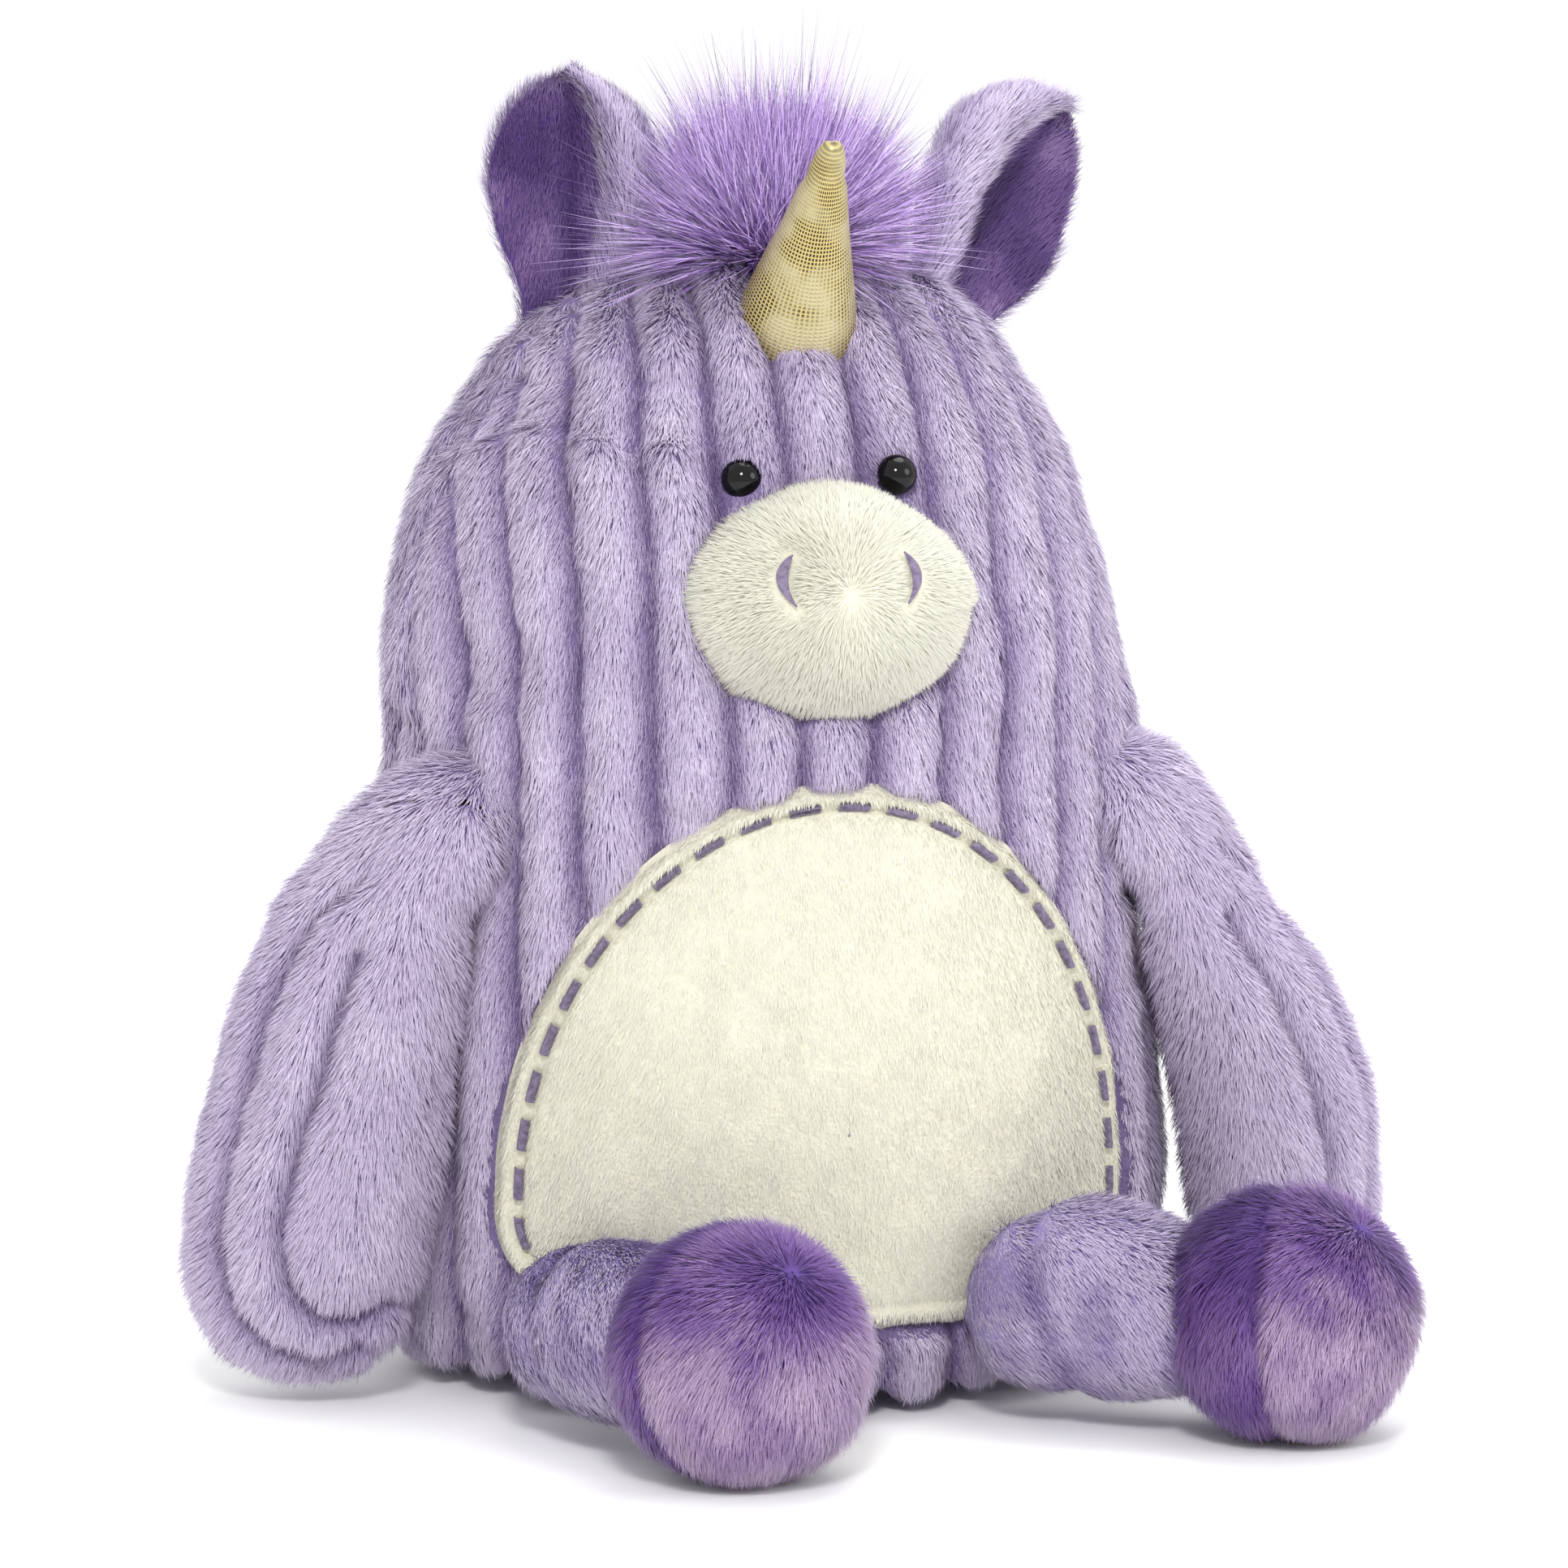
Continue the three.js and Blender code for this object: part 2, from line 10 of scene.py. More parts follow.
import bpy
import numpy as np
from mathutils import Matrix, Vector


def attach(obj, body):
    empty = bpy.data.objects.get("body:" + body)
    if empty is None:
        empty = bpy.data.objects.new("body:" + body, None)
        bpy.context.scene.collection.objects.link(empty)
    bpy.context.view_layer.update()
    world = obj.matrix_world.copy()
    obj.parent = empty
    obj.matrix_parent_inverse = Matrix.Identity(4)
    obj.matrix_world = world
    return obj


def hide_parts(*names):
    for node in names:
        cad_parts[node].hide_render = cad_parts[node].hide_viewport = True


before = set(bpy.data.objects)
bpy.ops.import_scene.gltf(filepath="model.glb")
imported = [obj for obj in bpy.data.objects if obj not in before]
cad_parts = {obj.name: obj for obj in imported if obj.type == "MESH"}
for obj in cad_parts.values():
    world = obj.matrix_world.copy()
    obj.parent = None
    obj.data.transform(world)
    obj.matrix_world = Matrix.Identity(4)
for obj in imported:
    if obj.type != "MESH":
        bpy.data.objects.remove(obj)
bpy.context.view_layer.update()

# ---------------- sizes, fitted a little closer to the photo than the CAD's
TOY_TO_ROW = np.array([-4.3, 29.6, 0.0])
BODY_OUTLINE = [
    (60, 0), (76, 3), (85, 14), (88.5, 34), (89.5, 60), (89, 90), (87.5, 125), (85, 157),
    (81.5, 181), (76, 199), (67, 219), (55, 238), (41, 250), (24, 259), (0, 263),
]
BODY_FLATNESS = 0.86
LEAN, LEAN_FROM = 0.05, 80
SIDE_SEAM = math.radians(80)
BASE_SEAM = 7
BELLY_HALF_WIDTH, BELLY_BOTTOM, BELLY_WAIST, BELLY_TOP = 75, 20, 48, 145
BELLY_MIDDLE = (0, 66)
STITCH_INSET = 5.5
MUZZLE_WIDTH, MUZZLE_DEPTH, MUZZLE_HEIGHT, MUZZLE_Z, MUZZLE_SINK = 67, 54, 54, 184, 6
MUZZLE_PARTING = 5
EYE_X, EYE_Z, EYE_RADIUS = 18, 212, 4.7
NOSTRIL_X, NOSTRIL_Z, NOSTRIL_HEIGHT, NOSTRIL_BOW = 13, 192, 11, 2.6
HORN_Z, HORN_TILT, HORN_LENGTH = 246, math.radians(38), 54
HORN_OUTLINE = [
    (13.9, -7), (13.7, 0), (10.9, 16), (7.0, 34), (4.2, 46), (2.9, 51.4), (1.7, 53.4), (0.02, HORN_LENGTH),
]
EAR_X = {"left": 44, "right": 47}
EAR_Z = 247
EAR_HALF_WIDTH = {"left": 21, "right": 25}
EAR_HEIGHT = {"left": 57, "right": 65}
EAR_TURN = {"left": math.radians(32), "right": math.radians(36)}
EAR_LEAN = {"left": math.radians(-1), "right": math.radians(46)}
MANE_Y, MANE_TOP = -8, 263
ARM_ROOT = (91, -36, 125)
ARM_OUTLINE = [
    (0, 24), (8, 21), (13.5, 13), (16, 2), (16, -14), (20, -30), (22.3, -55), (23.5, -80), (22.5, -101),
    (17, -115), (8.5, -122), (0, -124),
]
ARM_LENGTH, ARM_OUTWARD, ARM_FLATNESS, ARM_TURN = 124, 24, 0.62, math.radians(22)
ARM_SPREAD = {"left": 0.0, "right": math.radians(4)}
# How far the outer edge of each arm swells out, as height over the shoulder and distance.
ARM_SWELL = {
    "left": [(-124, 0), (-110, 3), (-95, 6), (-50, 4.5), (-24, 8.5), (-5, 12.5), (10, 11), (24, 6)],
    "right": [(-124, 1), (-100, 4), (-67, 5), (-38, 2.5), (-22, -1), (-9, 2), (5, 7.5), (19, 10.5), (24, 8)],
}
HIP = {"left": (-62, -76, 24), "right": (43, -88, 24)}
LEG_REACH, LEG_ROOT, LEG_RADIUS, LEG_ANKLE, HOOF_RADIUS = 58, 18.5, 19.5, 16, 28
LEG_YAW = {"left": math.radians(-25), "right": math.radians(57)}
THIGH = {"left": 2.5, "right": 8}
TAIL_AT = (0, 83.6, 62)
SIDES = {"left": -1, "right": 1}

# ---------------------------------------------------------------- sizes of the fabric
RIB_PITCH = 17.2
RIB_NARROWING = [(0, 1.04), (60, 1.02), (170, 1), (225, 0.96), (263, 0.85)]  # height and share of the pitch
RIB_HEIGHT = 5.2
SKIN_INSET = 2.4  # how far a valley of the skin lies under the CAD outline
PILE = 5.6  # fibre length on the ribs
FIBRE = 0.27  # fibre width
FLOOR_GAP = 0.3  # no fibre goes lower than this
FRONT_DENSITY, BACK_DENSITY = 4.6, 2.8  # fibres on a square millimetre of the body
PILE_PARTING = 139  # height at which the body's pile is parted in upper and lower pieces
KNIT_SIZE = 0.9  # cells of the backing
DASH, DASH_GAP, DASH_START, DASH_BARS = 6.8, 4.6, 3.0, 17  # running stitch; bars are the threads of a dash

# ---------------------------------------------------------------- colours, as sRGB
# The pile shades run from dark to pale. Besides random tone, the darker steps are painted shade in rib valleys,
# seams, creases, folds and at fibre roots, and the paler steps are painted light on rib crests and painted sheen
# on the hooves.
BODY_SHADES = [
    (90, 72, 118), (114, 96, 140), (140, 123, 162), (162, 147, 181), (180, 166, 196), (195, 183, 209),
    (209, 199, 221),
]
EAR_SHADES = [(50, 32, 76), (66, 44, 96), (84, 60, 114), (104, 79, 132), (130, 106, 154)]
CREAM_SHADES = [(198, 195, 174), (208, 206, 187), (214, 212, 196), (218, 217, 203)]
LEG_SHADES = [(112, 94, 148), (142, 126, 172), (170, 156, 192), (192, 180, 208), (210, 200, 222)]
HOOF_SHADES = [
    (82, 52, 120), (106, 74, 142), (128, 98, 156), (152, 128, 168), (172, 150, 182), (190, 170, 197),
    (212, 196, 214),
]
MANE_SHADES = [(132, 90, 180), (156, 114, 202), (178, 138, 218), (196, 162, 230), (216, 192, 240)]


# ---------------------------------------------------------------- small maths
def smooth_curve(points, steps):
    """Points along a Catmull-Rom curve through the given ones."""
    p = np.asarray(points, float)
    p = np.vstack([2 * p[0] - p[1], p, 2 * p[-1] - p[-2]])
    t = np.linspace(0, len(p) - 3, steps)
    k = np.minimum(t.astype(int), len(p) - 4)
    f = (t - k)[:, None]
    a, b, c, d = (p[k + n] for n in range(4))
    return 0.5 * (2 * b + (c - a) * f + (2 * a - 5 * b + 4 * c - d) * f**2 + (3 * b - a - 3 * c + d) * f**3)


def unit(v):
    return v / np.maximum(np.linalg.norm(v, axis=-1, keepdims=True), 1e-9)


def ramp(value, low, high):
    """0 under low, 1 over high, and a smooth step between."""
    t = np.clip((value - low) / (high - low), 0, 1)
    return t * t * (3 - 2 * t)


def bell(value, width):
    """1 where the value is 0, with a smooth fall over the width."""
    return np.exp(-((value / width) ** 2))


def around(count):
    """Even angles round a full turn."""
    return np.linspace(0, 2 * np.pi, count, endpoint=False)


def run_along(line):
    """The length run at each point of a polyline."""
    return np.concatenate([[0], np.cumsum(np.linalg.norm(np.diff(line, axis=0), axis=1))])


def noise(points, size, seed):
    """Smooth random values from -1 to 1 that change over about size millimetres."""
    table = np.random.default_rng(seed).uniform(-1, 1, (32, 32, 32))
    q = np.asarray(points, float) / size + 500.0
    whole = np.floor(q).astype(int)
    f = q - whole
    f = f * f * (3 - 2 * f)
    total = 0
    for corner in np.ndindex(2, 2, 2):
        at = (whole + corner) % 32
        share = np.prod(np.where(np.array(corner) == 1, f, 1 - f), axis=-1)
        total = total + share * table[at[..., 0], at[..., 1], at[..., 2]]
    return total * 1.4


def turn_z(angle):
    c, s = math.cos(angle), math.sin(angle)
    return np.array([[c, -s, 0], [s, c, 0], [0, 0, 1]])


def turn_y(angle):
    c, s = math.cos(angle), math.sin(angle)
    return np.array([[c, 0, s], [0, 1, 0], [-s, 0, c]])


def turn_x(angle):
    c, s = math.cos(angle), math.sin(angle)
    return np.array([[1, 0, 0], [0, c, -s], [0, s, c]])


def to_row(points):
    return (np.asarray(points, float).reshape(-1, 3) + TOY_TO_ROW) / 1000


def distance_to_line(points, line):
    """How far each 2-D point is from a polyline."""
    p = np.asarray(points, float)
    best = np.full(p.shape[:-1], 1e9)
    line = np.asarray(line, float)
    for a, b in zip(line[:-1], line[1:]):
        ab = b - a
        t = np.clip(((p - a) @ ab) / max(ab @ ab, 1e-9), 0, 1)
        best = np.minimum(best, np.linalg.norm(p - a - t[..., None] * ab, axis=-1))
    return best


# ---------------------------------------------------------------- materials
def linear(rgb):
    c = np.array(rgb, float) / 255
    c = np.where(c <= 0.04045, c / 12.92, ((c + 0.055) / 1.055) ** 2.4)
    return (*c, 1.0)


class Shader:
    """A Principled material and short ways to add nodes to it."""

    def __init__(self, name, colour, roughness, **values):
        self.material = bpy.data.materials.new(name)
        self.material.use_nodes = True
        self.tree = self.material.node_tree
        self.principled = self.tree.nodes["Principled BSDF"]
        self.set("Base Color", linear(colour))
        self.set("Roughness", roughness)
        for key, value in values.items():
            self.set(key.replace("_", " "), value)
        self.material.diffuse_color = linear(colour)

    def set(self, socket, value):
        self.principled.inputs[socket].default_value = value

    def node(self, kind, **values):
        node = self.tree.nodes.new(kind)
        for key, value in values.items():
            if hasattr(node, key):
                setattr(node, key, value)
            else:
                node.inputs[key].default_value = value
        return node

    def link(self, a, b):
        self.tree.links.new(a, b)

    def place(self, kind="Object", scale=(1000, 1000, 1000)):
        """Texture places in millimetres."""
        where = self.node("ShaderNodeTexCoord")
        mapping = self.node("ShaderNodeMapping", Scale=scale)
        self.link(where.outputs[kind], mapping.inputs["Vector"])
        return mapping.outputs["Vector"]

    def noise(self, scale, detail=3.0):
        texture = self.node("ShaderNodeTexNoise", Scale=scale, Detail=detail)
        self.link(self.place(), texture.inputs["Vector"])
        return texture.outputs["Fac"]

    def cells(self, size, place=None, **values):
        """Distances in a texture of cells of the given size."""
        texture = self.node("ShaderNodeTexVoronoi", Scale=1 / size, **values)
        self.link(self.place() if place is None else place, texture.inputs["Vector"])
        return texture.outputs["Distance"]

    def colour_between(self, factor, *colours, low=0.25, high=0.75):
        fade = self.node("ShaderNodeValToRGB")
        spots = fade.color_ramp.elements
        while len(spots) < len(colours):
            spots.new(0.5)
        for k, colour in enumerate(colours):
            spots[k].position = low + (high - low) * k / (len(colours) - 1)
            spots[k].color = linear(colour)
        self.link(factor, fade.inputs["Fac"])
        self.link(fade.outputs["Color"], self.principled.inputs["Base Color"])
        return fade.outputs["Color"]

    def rescaled(self, factor, start, end, low=0.0, high=1.0):
        ends = {"From Min": start, "From Max": end, "To Min": low, "To Max": high}
        scaled = self.node("ShaderNodeMapRange", **ends)
        self.link(factor, scaled.inputs["Value"])
        return scaled.outputs["Result"]

    def value_between(self, factor, socket, low, high):
        self.link(self.rescaled(factor, 0.3, 0.7, low, high), self.principled.inputs[socket])

    def bump(self, height, distance, strength=0.6):
        bump = self.node("ShaderNodeBump", Strength=strength, Distance=distance / 1000)
        self.link(height, bump.inputs["Height"])
        self.link(bump.outputs["Normal"], self.principled.inputs["Normal"])


def backing_material(name, dark, light):
    """Knitted backing seen between the fibres: mottled, with a fine knit in its bump."""
    shader = Shader(name, light, 0.9)
    mottle = shader.noise(0.16, 4.0)
    shader.colour_between(mottle, dark, light)
    shader.bump(shader.cells(KNIT_SIZE), 0.5)
    shader.value_between(mottle, "Roughness", 0.8, 0.98)
    return shader.material


def fibre_materials(name, shades, roughness=0.62):
    """One material per shade of a pile (random tone, painted light and shade); its sheen changes from lock to
    lock.
    """
    made = []
    for k, shade in enumerate(shades):
        shader = Shader(f"{name}_{k}", shade, roughness, Specular_IOR_Level=0.25)
        shader.set("Sheen Roughness", 0.45)
        shader.value_between(shader.noise(0.2, 2.0), "Sheen Weight", 0.05, 0.3)
        made.append(shader.material)
    return made


def thread_material(name, dark, light):
    shader = Shader(name, light, 0.45, Specular_IOR_Level=0.4)
    shader.colour_between(shader.noise(0.9, 2.0), dark, light)
    twist = shader.node("ShaderNodeTexWave", Scale=3.0, Distortion=1.5)
    shader.link(shader.place(), twist.inputs["Vector"])
    shader.bump(twist.outputs["Fac"], 0.1)
    shader.value_between(shader.noise(1.5, 2.0), "Roughness", 0.35, 0.6)
    return shader.material


def fill_material(name, dark, light, size):
    """Loose fill: tufts of fibre or a cloth bag of pellets."""
    shader = Shader(name, light, 0.95)
    lumps = shader.cells(size)
    shader.colour_between(lumps, light, dark)
    shader.bump(lumps, size * 0.4)
    return shader.material


def horn_material():
    """Gold lame under a fine honeycomb net: dark cells, bright threads, pale patches and random glints."""
    shader = Shader("horn_net", (214, 190, 118), 0.34, Metallic=0.55)
    place = shader.place("UV", (66, 54, 1))
    net = shader.cells(1.0, place, feature="DISTANCE_TO_EDGE", Randomness=0.12)
    glint = shader.cells(1.0, place, Randomness=0.12)
    gold = shader.colour_between(net, (200, 182, 118), (44, 32, 14), low=0.14, high=0.24)
    pale = shader.node("ShaderNodeMix", data_type="RGBA")
    shader.link(shader.rescaled(shader.noise(0.09), 0.42, 0.62), pale.inputs["Factor"])
    shader.link(gold, pale.inputs["A"])
    pale.inputs["B"].default_value = linear((186, 176, 136))
    shader.link(pale.outputs["Result"], shader.principled.inputs["Base Color"])
    shader.bump(net, 0.25, 0.8)
    shader.value_between(glint, "Roughness", 0.22, 0.5)
    return shader.material


def eye_material():
    shader = Shader("eye_gloss", (4, 4, 6), 0.05, Specular_IOR_Level=0.3)
    shader.colour_between(shader.noise(0.5, 2.0), (4, 4, 6), (9, 8, 12))
    shader.value_between(shader.noise(0.4, 5.0), "Roughness", 0.04, 0.09)
    return shader.material


def plastic_material():
    shader = Shader("washer_plastic", (226, 224, 216), 0.5)
    shader.colour_between(shader.noise(0.4, 3.0), (214, 211, 202), (232, 230, 224))
    shader.bump(shader.noise(2.0, 2.0), 0.08)
    return shader.material


MATERIALS = {
    # The ribbed backing is darker than most of its pile: painted shade, for the deep gaps between the fibres.
    "body": backing_material("ribbed_backing", (92, 76, 120), (126, 110, 152)),
    "ear": backing_material("ear_backing", (66, 38, 112), (96, 62, 146)),
    "cream": backing_material("cream_backing", (208, 205, 184), (214, 212, 194)),
    "leg": backing_material("leg_backing", (96, 78, 142), (160, 148, 196)),
    "hoof": backing_material("hoof_backing", (62, 36, 108), (104, 76, 150)),
    "mane": backing_material("mane_backing_cloth", (84, 50, 150), (118, 80, 180)),
    "stitch": thread_material("stitch_thread", (96, 86, 112), (150, 138, 164)),
    "nostril": thread_material("nostril_thread", (112, 98, 128), (158, 144, 170)),
    "horn": horn_material(),
    "eye": eye_material(),
    "washer": plastic_material(),
    "fill": fill_material("fibre_fill", (214, 214, 210), (246, 246, 244), 2.6),
    "pellets": fill_material("pellet_bag", (206, 200, 188), (236, 232, 222), 3.4),
}
FIBRES = {
    "body": fibre_materials("ribbed_pile", BODY_SHADES),
    "ear": fibre_materials("ear_pile", EAR_SHADES),
    "cream": fibre_materials("cream_pile", CREAM_SHADES, 0.7),
    "leg": fibre_materials("leg_pile", LEG_SHADES),
    "hoof": fibre_materials("hoof_pile", HOOF_SHADES, 0.5),
    "mane": fibre_materials("mane_fibre", MANE_SHADES, 0.5),
}
MATERIALS["backing"] = MATERIALS["mane"]  # the strip under the tuft is the same cloth in another slot


# ---------------------------------------------------------------- meshes
def make_piece(name, points, faces, materials, body, index=None, normals=None, uv=None):
    """A mesh piece from points in the toy's frame. faces is a list of index arrays of 3 or 4 columns."""
    mesh = bpy.data.meshes.new(name)
    co = to_row(points)
    co[:, 2] = np.maximum(co[:, 2], FLOOR_GAP / 1000)
    faces = [np.asarray(f, np.int32) for f in faces if len(f)]
    corners = np.concatenate([f.reshape(-1) for f in faces])
    counts = np.concatenate([np.full(len(f), f.shape[1]) for f in faces])
    starts = np.concatenate([[0], np.cumsum(counts)[:-1]])
    mesh.vertices.add(len(co))
    mesh.vertices.foreach_set("co", co.astype(np.float32).reshape(-1))
    mesh.loops.add(len(corners))
    mesh.loops.foreach_set("vertex_index", corners)
    mesh.polygons.add(len(counts))
    mesh.polygons.foreach_set("loop_start", starts.astype(np.int32))
    for material in materials:
        mesh.materials.append(material)
    if index is not None:
        mesh.polygons.foreach_set("material_index", np.asarray(index, np.int32))
    mesh.polygons.foreach_set("use_smooth", np.ones(len(counts), bool))
    mesh.update(calc_edges=True)
    if uv is not None:
        layer = mesh.uv_layers.new(name="net")
        layer.data.foreach_set("uv", np.asarray(uv, np.float32)[corners].reshape(-1))
    if normals is not None:
        mesh.normals_split_custom_set_from_vertices(unit(normals).astype(np.float32))
    piece = bpy.data.objects.new(name, mesh)
    bpy.context.scene.collection.objects.link(piece)
    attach(piece, body)
    return piece


class Skin:
    """A grid of points with what its pile needs at each: normal, combing, growth and shade."""

    def __init__(self, points, closed, flip=False):
        self.points = points
        self.closed = closed
        self.rows, self.columns = points.shape[:2]
        self.flip = flip
        self.grow = np.ones((self.rows, self.columns))
        self.shade = np.full((self.rows, self.columns), 0.6)
        self.comb = np.zeros_like(points)
        self.refresh()

    def refresh(self):
        p = self.points
        if self.closed:
            across = np.roll(p, -1, 1) - np.roll(p, 1, 1)
        else:
            across = np.gradient(p, axis=1)
        along = np.gradient(p, axis=0)
        self.normals = unit(np.cross(across, along)) * (-1 if self.flip else 1)

    def face(self, toward, rows=slice(None)):
        """Turns the surface over if the normals of the rows look away from the given directions."""
        if (self.normals[rows] * toward).sum(-1).mean() < 0:
            self.flip = not self.flip
            self.refresh()

    def push(self, height):
        """Moves every point along its normal."""
        self.points = self.points + self.normals * np.asarray(height)[..., None]
        self.refresh()

    def quads(self, keep=None):
        rows, columns = self.rows, self.columns
        index = np.arange(rows * columns).reshape(rows, columns)
        right = np.roll(index, -1, 1) if self.closed else index[:, 1:]
        here = index if self.closed else index[:, :-1]
        quad = np.stack([here[:-1], right[:-1], right[1:], here[1:]], -1).reshape(-1, 4)
        if keep is not None:
            quad = quad[keep.reshape(-1)[quad].all(1)]
        return quad[:, ::-1] if self.flip else quad

    def comb_down(self, sideways=None, pull=(0, 0, -1)):
        """Combs the pile the way it is pulled, and to one side by the given vectors."""
        n = self.normals
        down = np.asarray(pull, float) - n * (n @ np.asarray(pull, float))[..., None]
        if sideways is not None:
            down = down + sideways
        self.comb = unit(down)


def add_skin(name, skin, kind, body, node, keep=None, uv=None):
    """The cloth. It stands for the CAD node."""
    ids, faces = np.unique(skin.quads(keep), return_inverse=True)
    piece = make_piece(
        name, skin.points.reshape(-1, 3)[ids], [faces.reshape(-1, 4)], [MATERIALS[kind]], body,
        normals=skin.normals.reshape(-1, 3)[ids], uv=None if uv is None else uv.reshape(-1, 2)[ids],
    )
    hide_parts(node)


def add_fill(stem, points, flip, depth, body):
    """The stuffing: a rough surface the given depth under the points."""
    inner = Skin(points, True, flip)
    inner.push(-depth)
    add_skin(f"{stem}_fill", inner, "fill", body, f"{stem}_stuffing")


def shade_number(tone, kind):
    """The fibre material for a tone from 0, dark, to 1, pale."""
    last = len(FIBRES[kind]) - 1
    return np.clip(np.rint(tone * last), 0, last)


def add_pile(name, skin, kind, body, per_mm2, length=PILE, width=FIBRE, rise=0.55, keep=None, seed=1,
             clump=0.11, stray=0.12, droop=0.3):
    """Pile on a skin: flat tapered fibres of two facets, combed, in clumps, each in one or two shades."""
    rng = np.random.default_rng(seed)
    quads = skin.quads(keep)
    flat = lambda a: a.reshape(-1, a.shape[-1]) if a.ndim == 3 else a.reshape(-1)
    points, normals, comb, grow, shade = (
        flat(a) for a in (skin.points, skin.normals, skin.comb, skin.grow, skin.shade)
    )
    a, b, c, d = (points[quads[:, k]] for k in range(4))
    area = np.linalg.norm(np.cross(c - a, d - b), axis=1) / 2
    weight = np.cumsum(area * (grow[quads].mean(1) > 0.02))
    count = int(weight[-1] * per_mm2)
    chosen = quads[np.searchsorted(weight, rng.random(count) * weight[-1])]
    u, v = rng.random((2, count, 1))
    share = np.concatenate([(1 - u) * (1 - v), u * (1 - v), u * v, (1 - u) * v], 1)
    at = lambda values: (values[chosen] * (share[..., None] if values.ndim == 2 else share)).sum(1)
    root, n, lie, g, s = at(points), unit(at(normals)), unit(at(comb)), at(grow), at(shade)

    lock = np.stack([noise(root, 6.0, seed + k) for k in range(3)], -1) * clump
    lock += np.stack([noise(root, 17.0, seed + 5 + k) for k in range(3)], -1) * clump * 0.7
    direction = unit(n * rise + lie + lock + rng.normal(0, stray, (count, 3)))
    inward = (direction * n).sum(1, keepdims=True)
    direction = unit(direction + n * np.maximum(0.12 - inward, 0))
    side = unit(np.cross(direction, n + rng.normal(0, 0.18, (count, 3))))
    size = length * g * rng.uniform(0.7, 1.15, count)
    half = size[:, None] * 0.5
    root = root - n * 0.3
    middle = root + direction * half
    outer = unit(direction + lie * droop - n * 0.12 + rng.normal(0, 0.12, (count, 3)))
    tip = middle + outer * half
    wide = side * width * rng.uniform(0.7, 1.2, (count, 1)) / 2
    vertices = np.stack([root - wide, root + wide, middle - wide * 0.8, middle + wide * 0.8, tip], 1)
    first = np.arange(count)[:, None] * 5
    lower = first + np.array([0, 1, 3, 2])
    upper = first + np.array([2, 3, 4])
    facing = np.cross(side, direction)
    facing *= np.sign((facing * n).sum(1, keepdims=True) + 1e-9)
    shown = unit(n * 0.85 + facing * 0.25 + rng.normal(0, 0.09, (count, 3)))
    lift = unit(shown + outer * 0.25)
    vertex_normals = np.stack([shown, shown, shown, shown, lift], 1)
    tone = s + 0.05 * noise(root, 9.0, seed + 11) + rng.normal(0, 0.04, count)
    # The root facet is a step darker and the tip a step paler: painted shade deep in the pile.
    index = np.concatenate([shade_number(tone - 0.10, kind), shade_number(tone + 0.08, kind)])
    make_piece(
        name, vertices.reshape(-1, 3), [lower, upper], FIBRES[kind], body, index=index,
        normals=vertex_normals.reshape(-1, 3),
    )


def add_cloth(stem, skin, kind, body, node, fill, per_mm2, keep=None, **pile):
    """A skin with its pile."""
    add_skin(f"{stem}_skin", skin, kind, body, node, keep)
    add_pile(f"{stem}_pile", skin, kind, body, per_mm2, keep=keep, **pile)


def tube(route, radius, sides=6):
    """Points and faces of a round tube with closed, rounded ends along a route."""
    route = np.asarray(route, float)
    along = unit(np.gradient(route, axis=0))
    other = np.array([0.0, 0.0, 1.0]) if abs(along[0][2]) < 0.9 else np.array([1.0, 0.0, 0.0])
    right = unit(np.cross(along, other))
    up = np.cross(right, along)
    size = np.full(len(route), radius)
    size[0] = size[-1] = radius * 0.45
    angle = np.linspace(0, 2 * np.pi, sides, endpoint=False)
    ring = right[:, None] * np.cos(angle)[None, :, None] + up[:, None] * np.sin(angle)[None, :, None]
    points = (route[:, None] + ring * size[:, None, None]).reshape(-1, 3)
    index = np.arange(len(points)).reshape(len(route), sides)
    turn = np.roll(index, -1, 1)
    quads = np.stack([index[:-1], turn[:-1], turn[1:], index[1:]], -1).reshape(-1, 4)
    ends = [(index[e][0], index[e][k], index[e][k + 1]) for e in (0, -1) for k in range(1, sides - 1)]
    return points, quads, np.array(ends)


def add_threads(name, routes, radius, kind, node):
    """Threads on the body, a tube for each route, that stand for the CAD node."""
    points, quads, ends = zip(*(tube(route, radius) for route in routes))
    first = np.cumsum([0] + [len(p) for p in points])
    faces = [np.concatenate([f + k for f, k in zip(part, first)]) for part in (quads, ends)]
    piece = make_piece(name, np.concatenate(points), faces, [MATERIALS[kind]], "body")
    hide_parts(node)


# ---------------------------------------------------------------- body
outline = smooth_curve([(0, 0), (34, 0), *BODY_OUTLINE], 900)
outline[:, 0] = np.maximum(outline[:, 0], 0)
OUTLINE_Z, OUTLINE_R = np.maximum.accumulate(outline[90:, 1]), outline[90:, 0]
ARC_ANGLE = np.linspace(0, np.pi, 400)
ARC_STEP = np.sqrt(np.cos(ARC_ANGLE) ** 2 + (BODY_FLATNESS * np.sin(ARC_ANGLE)) ** 2)
ARC = np.concatenate([[0], np.cumsum((ARC_STEP[1:] + ARC_STEP[:-1]) / 2 * np.diff(ARC_ANGLE))])


def half_width(z):
    return np.interp(z, OUTLINE_Z, OUTLINE_R)


def lean_at(z):
    return LEAN * (np.asarray(z, float) - LEAN_FROM)


def front_point(x, z):
    x, z = np.asarray(x, float), np.asarray(z, float)
    depth = BODY_FLATNESS * np.sqrt(np.maximum(half_width(z) ** 2 - x**2, 1))
    return np.stack([x, lean_at(z) - depth, z], -1)


def front_normal(x, z):
    x, z = np.asarray(x, float), np.asarray(z, float)
    across = front_point(x + 1, z) - front_point(x - 1, z)
    upward = front_point(x, z + 1) - front_point(x, z - 1)
    return unit(np.cross(across, upward))


